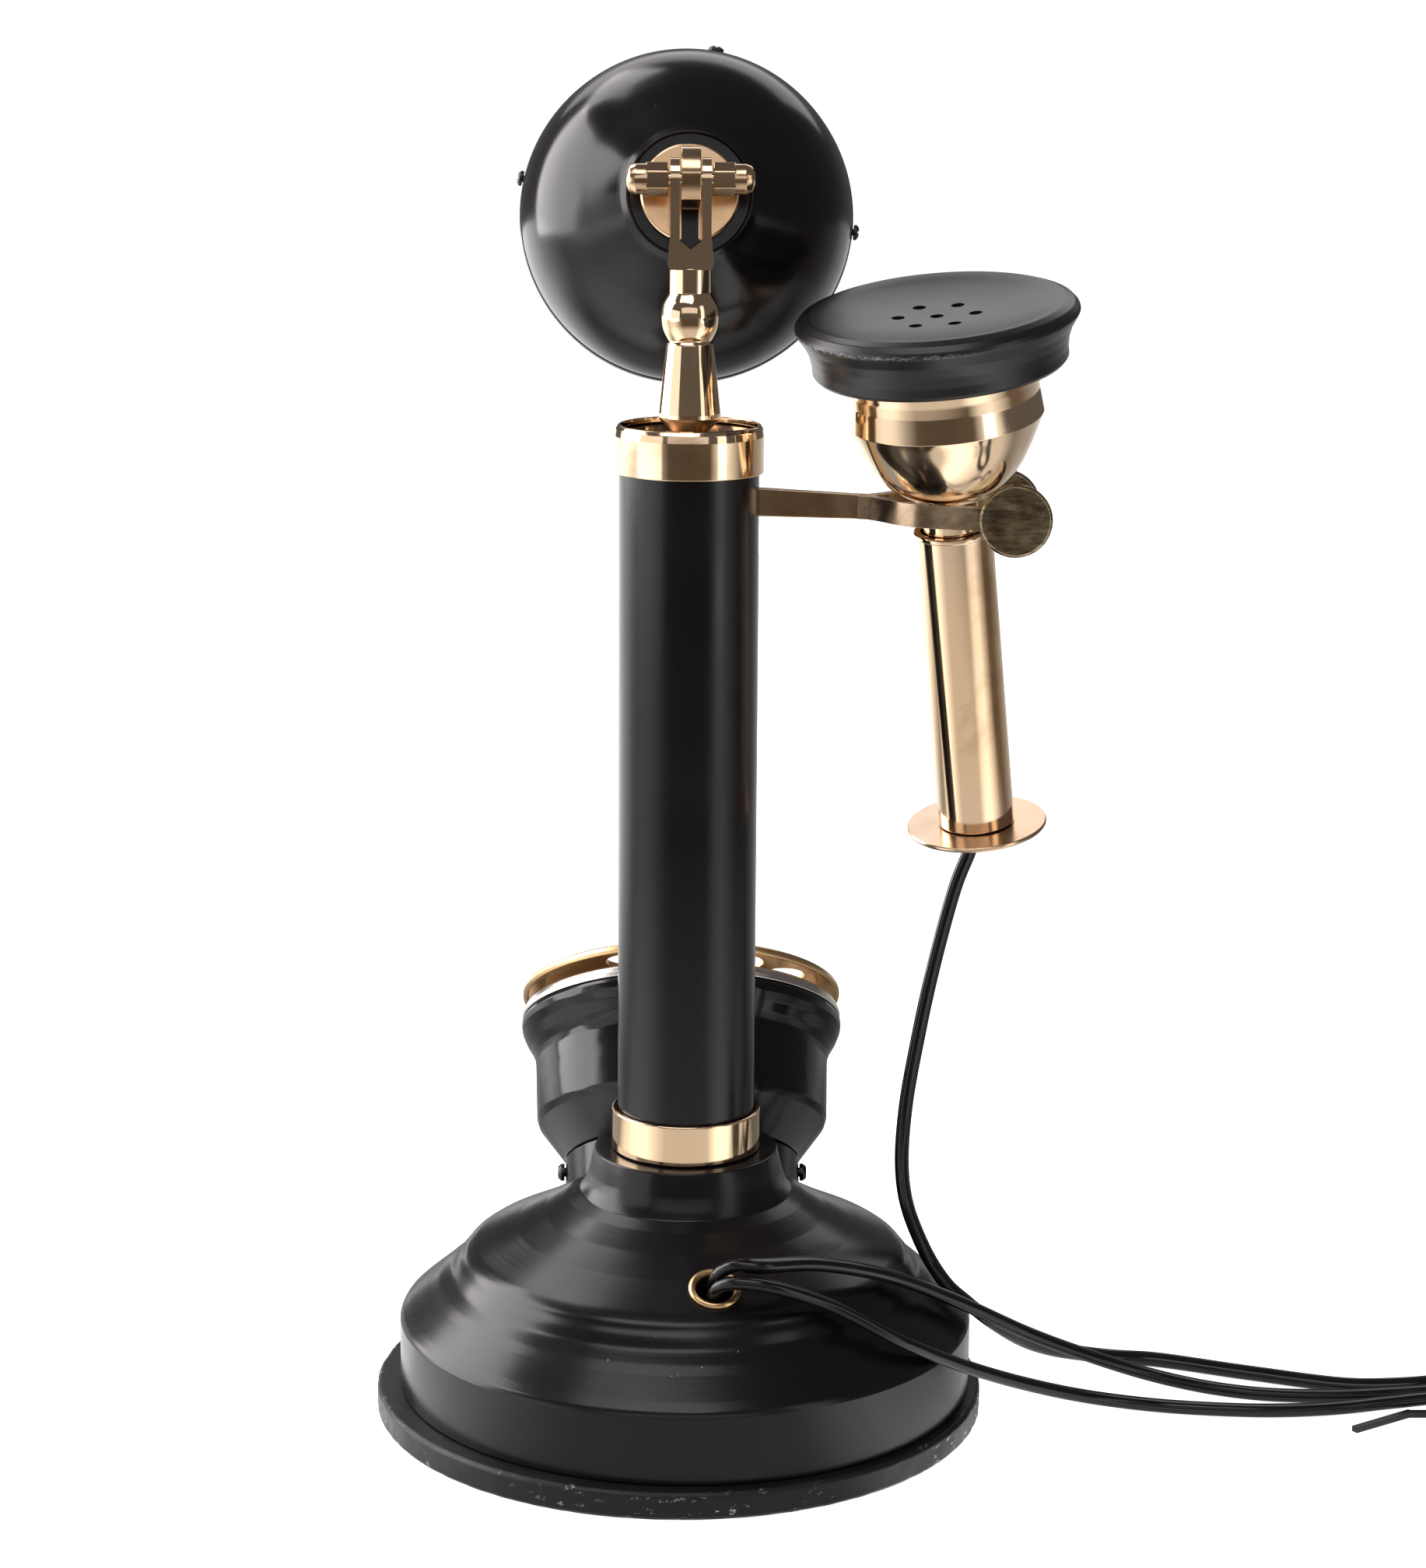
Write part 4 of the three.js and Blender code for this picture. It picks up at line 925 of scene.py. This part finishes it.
def make_mouthpiece():
    done(lathe("horn", [
        (9.2, 53, 0.1), (9.2, 59.2, 0.1), (11, 59.2, 0.4), (10.4, 63, 2), (10.8, 68, 5), (13, 74, 8),
        (17, 80, 8), (22.6, 84.6, 5), (24.2, 86.6, 0.9), (23.8, 87.6, 0.6), (21.6, 86.4, 0.8),
        (15.4, 80.6, 8), (11, 74.4, 8), (8.6, 68, 6), (8, 62, 4), (8, 56, 0.2), (6.4, 56, 0.1),
        (6.4, 53, 0.1),
    ]), "ebonite", "transmitter", "mouthpiece_horn", AT_TRANSMITTER)
    grille = lathe("grille", [(0, 56.3), (7.6, 56.3, 0.1), (7.6, 57.2, 0.2), (0, 57.2)], 64)
    ways = []
    for i in range(7):
        place = rotation("Z", 60 * i) @ translation(4.4 if i < 6 else 0, 0, 0)
        ways.append(moved(rod("way", 0.9, 50, 60, 20), place))
    combined(grille, "DIFFERENCE", *ways)
    done(grille, "brass", "transmitter", "mouthpiece_grille", AT_TRANSMITTER)


# ---- hook
def make_hook_arm():
    side = [(-43, -2.75), (-21, -3.15, 3), (6, -3.15, 0.6), (6, 3.15, 0.6), (-21, 3.15, 3), (-43, 2.75)]
    arm = upright(slab("arm", side, -1.1, 1.1, 0.3), False)
    combined(arm, "DIFFERENCE", moved(rod("way", PIN_HOLE, -6, 6), rotation("X", 90)))
    done(arm, "old_brass", "hook", "hook_arm", AT_HOOK)


def make_hook_fork():
    """Two bent prongs, with a round disc at the end of each."""
    line = smooth_path([
        (-45.5, 1.4, 0), (-48.6, 4.6, 0), (-51.6, 8.2, 0), (-55.6, 10.7, 0), (-60.5, 11.4, 0), (-66, 11.5, 0),
        (-70.6, 12.3, 0),
    ], 0.9)
    half = 1.1
    left, right = [], []
    for i, point in enumerate(line):
        tangent = (line[min(i + 1, len(line) - 1)] - line[max(i - 1, 0)]).normalized()
        left.append((point.x - half * tangent.y, point.y + half * tangent.x))
        right.append((point.x + half * tangent.y, point.y - half * tangent.x))
    outline = left + right[::-1]
    fork = box("root", (-44.5, 0, 0), (4.2, 4.6, 5.2))
    prongs = [slab("prong", outline, -2.6, 2.6), slab("prong", [(x, -y) for x, y in outline], -2.6, 2.6)]
    combined(fork, "UNION", *prongs)
    bevelled(fork, 0.3, 50)
    discs = []
    for sign in (-1, 1):
        disc = lathe("disc", [
            (0, -1.2), (7.6, -1.2, 0.6), (8.15, -0.6, 0.5), (8.15, 0.6, 0.5), (7.6, 1.2, 0.6), (0, 1.2),
        ], 80)
        discs.append(moved(disc, translation(-76.6, sign * 12.5, 0) @ rotation("X", 90)))
    combined(fork, "UNION", *discs)
    done(fork, "fork", "hook", "hook_fork", AT_HOOK)


# ---- receiver
def make_ear_cap():
    """A dished cap with six holes around one."""
    dish = flowing([(3, 44.78), (10, 45), (16, 45.45), (22, 46.2), (26, 46.9)])
    cap = lathe("ear_cap", [
        (0, 44.75), *dish, (28.2, 47.2, 2), (30.2, 46.4, 1), (31.2, 45.2, 0.8), (31.4, 44.3, 0.6),
        (30.9, 43.4, 0.9), (29.5, 41.2, 3), (28.6, 38.8, 4), (28.2, 36.4, 4), (28.2, 34.4, 0.4),
        (27.4, 33.5, 0.5), (25.9, 33.4, 0.3), (25.9, 41.5, 0.2), (0, 42.2),
    ])
    ways = []
    for i in range(7):
        angle = math.radians(60 * i + EAR_HOLE_TURN)
        reach = EAR_HOLE_CIRCLE if i < 6 else 0
        place = translation(reach * math.cos(angle), reach * math.sin(angle), 0)
        ways.append(moved(rod("way", EAR_HOLE_RADIUS, 38, 50, 24), place))
    combined(cap, "DIFFERENCE", *ways)
    done(cap, "cap", "receiver", "ear_cap", AT_RECEIVER)


def make_receiver():
    bowl = flowing([(21.6, 21.2), (18.9, 15.2), (16.2, 10.4), (13.4, 6.9), (10.6, 5), (9.2, 4.5)])
    done(lathe("cup", [
        (24.9, 40.5, 0.1), (24.9, 34.2, 0.2), (21.9, 33.6, 0.3), (21.35, 30, 5), (21.35, 27.4, 4),
        (22, 22, 0.3), *bowl, (8.7, 3.8, 0.4), (8.7, 0.4, 0.4), (6.9, 0, 0.1), (6.9, -12, 0.1),
        (5.6, -12, 0.1), (5.6, 4.6, 0.5), (10.6, 7.6, 1), (19, 19.2, 1), (20.2, 34, 0.5), (23.6, 36, 0.3),
        (23.6, 40.5, 0.1),
    ]), "brass", "receiver", "receiver_cup", AT_RECEIVER)
    done(lathe("tube", [
        (7.4, -75.2, 0.1), (8.7, -75.2, 0.3), (8.7, -5.4, 0.1), (9, -5.2, 0.15), (9, -4.4, 0.15),
        (8.6, -4.2, 0.1), (7.4, -4.2, 0.1),
    ], 96), "tube", "receiver", "receiver_tube", AT_RECEIVER)
    done(lathe("flange", [
        (2.2, -76.6, 0.2), (15.8, -76.6, 0.4), (16.1, -76.1, 0.4), (15.8, -75.5, 0.3), (2.2, -75.5, 0.2),
    ], 96), "rosy_brass", "receiver", "receiver_flange", AT_RECEIVER)


# ---- dial
def numeral(text, x, y, z):
    """A raised figure on the number plate."""
    curve = bpy.data.curves.new("figure", "FONT")
    curve.body = text
    curve.size, curve.extrude = FIGURE_SIZE, 0.06
    curve.align_x = curve.align_y = "CENTER"
    holder = new_object("holder", curve)
    bpy.context.view_layer.update()
    mesh = bpy.data.meshes.new_from_object(holder.evaluated_get(bpy.context.evaluated_depsgraph_get()))
    bpy.data.objects.remove(holder)
    mesh.transform(Matrix.Scale(MM, 4) @ translation(x, y, z))
    return new_object(f"figure_{text}", mesh)


def make_dial_case():
    """The can, the nickel ring around its mouth, and the plate under the finger wheel."""
    done(lathe("can", [
        (37.6, -7.3, 0.1), (39, -7.3, 0.3), (39.4, -8.2, 0.6), (39.2, -9.8, 2), (38.3, -12, 4),
        (36.9, -14.3, 4), (36.1, -16.2, 4), (35.8, -18, 4), (35.4, -32, 3), (34.8, -33.8, 1.6),
        (28.4, -42.3, 0.8), (6, -42.3, 0.1), (6, -40.7, 0.1), (27.2, -40.7, 0.5), (33.2, -33, 1),
        (34.2, -18, 3), (34.8, -15, 3), (36.8, -11.2, 2), (37.6, -9.4, 1),
    ]), "can", "base", "dial_can", AT_DIAL)
    done(lathe("bezel_ring", [
        (34, -7, 0.1), (39.2, -7, 0.3), (39.2, -5.8, 0.8), (38.8, -4.6, 1), (38, -3.9, 0.7),
        (35.4, -3.6, 0.7), (34, -4.1, 0.4),
    ]), "nickel", "base", "dial_bezel_ring", AT_DIAL)
    done(lathe("number_plate", [(2.6, -4.4, 0.1), (33.6, -4.4, 0.1), (33.6, -3.6, 0.2), (2.6, -3.6, 0.1)]),
         "ivory", "base", "number_plate", AT_DIAL)


def make_finger_wheel():
    """The wheel with its holes, the figures under them, and the hub."""
    wheel = lathe("wheel", [
        (0, -0.2), (37.9, -0.2, 0.2), (38.2, -1.1, 0.2), (39, -1.1, 0.4), (39.2, -0.4, 0.4),
        (39.1, 0.6, 0.5), (38.4, 1.1, 0.5), (0, 1.3),
    ])
    ways = [rod("way", 2.5, -3, 5)]
    for i in range(FINGER_HOLES):
        angle = math.radians(FIRST_FINGER_HOLE - FINGER_HOLE_PITCH * i)
        x, y = FINGER_HOLE_CIRCLE * math.sin(angle), FINGER_HOLE_CIRCLE * math.cos(angle)
        ways.append(moved(rod("way", FINGER_HOLE_RADIUS, -3, 5, 56), translation(x, y, 0)))
        figure = numeral(str((i + 1) % 10), x, y, -3.5)
        done(figure, "ebonite", "base", "number_plate", AT_DIAL)
    combined(wheel, "DIFFERENCE", *ways)
    bevelled(wheel, 0.18, 40)
    done(wheel, "gilt", "dial_wheel", "finger_wheel", AT_DIAL)
    done(lathe("hub", [
        (0, -26), (2.2, -26, 0.2), (2.2, 1.6, 0.1), (13, 1.6, 0.2), (13.4, 2, 0.3), (12.6, 2.9, 0.8),
        (0, 3.3),
    ], 96), "brass", "dial_wheel", "dial_hub", AT_DIAL)


def make_finger_stop():
    stop = box("stop", (40.4, 0, -2), (1.4, 4, 10.4), 0.3)
    combined(stop, "UNION", box("finger", (32.2, 0, 2.6), (17.8, 4, 1.2), 0.3))
    moved(stop, rotation("Z", -25))
    done(stop, "nickel", "base", "finger_stop", AT_DIAL)


def make_pedestal():
    """The neck between can and dome, cut to clear the dome, with a screw on each side."""
    neck = lathe("neck", [(26.5, -64, 0), (28.3, -64, 0), (28.3, -42.6, 0.2), (26.5, -42.6, 0.2)])
    moved(neck, AT_DIAL)
    gap = 0.35
    grown = [(r + gap, z + gap, soft) for r, z, soft in BODY_OUTSIDE]
    body = lathe("body", [(0, -30), (66.35, -30, 0), (66.35, 6.9, 0), *grown, (0, 62.05)])
    combined(neck, "DIFFERENCE", body)
    ways = []
    for name, bearing in (("pedestal_screw_left", 0), ("pedestal_screw_right", 180)):
        place = AT_DIAL @ translation(0, 0, -45.3) @ rotation("Z", bearing) @ rotation("Y", 90)
        ways.append(moved(rod("way", 1.4, 24, 31, 24), place))
        screw = lathe("screw", [
            (0, 25), (1.1, 25, 0.1), (1.1, 28.6, 0), (2.1, 28.6, 0.1), (2.1, 29.4, 0.5),
            (1.4, 30.2, 0.5), (0, 30.2),
        ], 40)
        done(slotted(screw, 30.1, 0.9), "dark_steel", "base", name, place)
    combined(neck, "DIFFERENCE", *ways)
    done(neck, "enamel", "base", "dial_pedestal")


make_base()
make_column()
make_post()
make_bolt()
make_lug()
make_transmitter_case()
make_mouthpiece()
make_hook_arm()
make_hook_fork()
make_ear_cap()
make_receiver()
make_dial_case()
make_finger_wheel()
make_finger_stop()
make_pedestal()

# ---- CAD pieces that keep their own shape
KEPT = {
    "base_screw_1": "steel", "base_screw_2": "steel", "base_screw_3": "steel", "circuit_board": "board",
    "transmitter_capsule": "steel", "hook_bracket": "steel", "hook_pivot_pin": "steel",
    "switch_block": "ebonite", "switch_blades": "old_brass", "receiver_magnet": "steel",
    "main_gear": "old_brass", "governor": "old_brass", "dial_frame": "steel", "mainspring": "steel",
}
for name, finish in KEPT.items():
    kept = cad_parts[name]
    for place in kept.material_slots:
        place.link = "OBJECT"
        place.material = MATERIALS[finish]


# ---- floor and light
def make_floor():
    """A pale floor in a pale room for the camera, and a plain card for what polished pieces mirror."""
    flat, curve, wall_top = 2200, 1500, 4500
    sides, steps = 64, 12
    rows = [(0, 0), (flat, 0)]
    for k in range(1, steps + 1):
        angle = math.pi / 2 * k / steps
        rows.append((flat + curve * math.sin(angle), curve - curve * math.cos(angle)))
    rows.append((flat + curve, wall_top))
    verts, faces = [], []
    for k in range(sides):
        angle = 2 * math.pi * k / sides
        verts += [(r * math.cos(angle), r * math.sin(angle), z) for r, z in rows]
    count = len(rows)
    for k in range(sides):
        near, far = k * count, ((k + 1) % sides) * count
        faces.append([near, near + 1, far + 1])
        faces += [[near + i, near + i + 1, far + i + 1, far + i] for i in range(1, count - 1)]
    floor = from_faces("floor", verts, faces)
    floor.data.materials.append(MATERIALS["floor"])
    floor.visible_glossy = floor.visible_diffuse = floor.visible_shadow = False
    reach = 3000
    corners = [(x * reach, y * reach, -1) for x, y in ((-1, -1), (1, -1), (1, 1), (-1, 1))]
    card = from_faces("card", corners, [[0, 1, 2, 3]])
    card.data.materials.append(MATERIALS["card"])
    card.visible_camera = card.visible_shadow = False


# Each light's place, the point it faces, its width and height, all in metres, and its power.
LIGHTS = {
    "key": ((1.02, -0.33, 0.55), (0, 0, 0.14), (1.0, 1.0), 20),
    "side": ((1.0, 0.45, 0.25), (0, 0, 0.12), (0.9, 0.5), 1.9),
    "strip": ((-0.6, 0.5, 0.34), (0, 0, 0.12), (0.2, 0.66), 0.62),
    "back": ((-0.1, -1.25, 1.02), (0, 0, 0.15), (1.7, 0.65), 4.6),
    "high": ((0.5, -0.75, 1.2), (0, 0, 0.1), (0.55, 0.55), 3.6),
    "front": ((0.1, 1.7, 0.85), (0, 0, 0.25), (2.2, 0.6), 3.6),
    "softbox": ((0.2, 0.46, 1.14), (0, 0, 0.27), (0.9, 0.5), 4),
}


def make_lights():
    world = bpy.data.worlds.new("studio")
    world.use_nodes = True
    world.node_tree.nodes["Background"].inputs["Color"].default_value = (1, 0.93, 0.93, 1)
    world.node_tree.nodes["Background"].inputs["Strength"].default_value = 0.12
    bpy.context.scene.world = world
    for name, (at, target, size, power) in LIGHTS.items():
        data = bpy.data.lights.new(name, "AREA")
        data.shape = "RECTANGLE"
        data.size, data.size_y = size
        data.energy = power
        data.color = (1, 0.96, 0.98)
        light = new_object(name, data)
        light.location = at
        light.rotation_euler = (Vector(target) - Vector(at)).to_track_quat("-Z", "Y").to_euler()


make_floor()
make_lights()
bpy.context.view_layer.update()
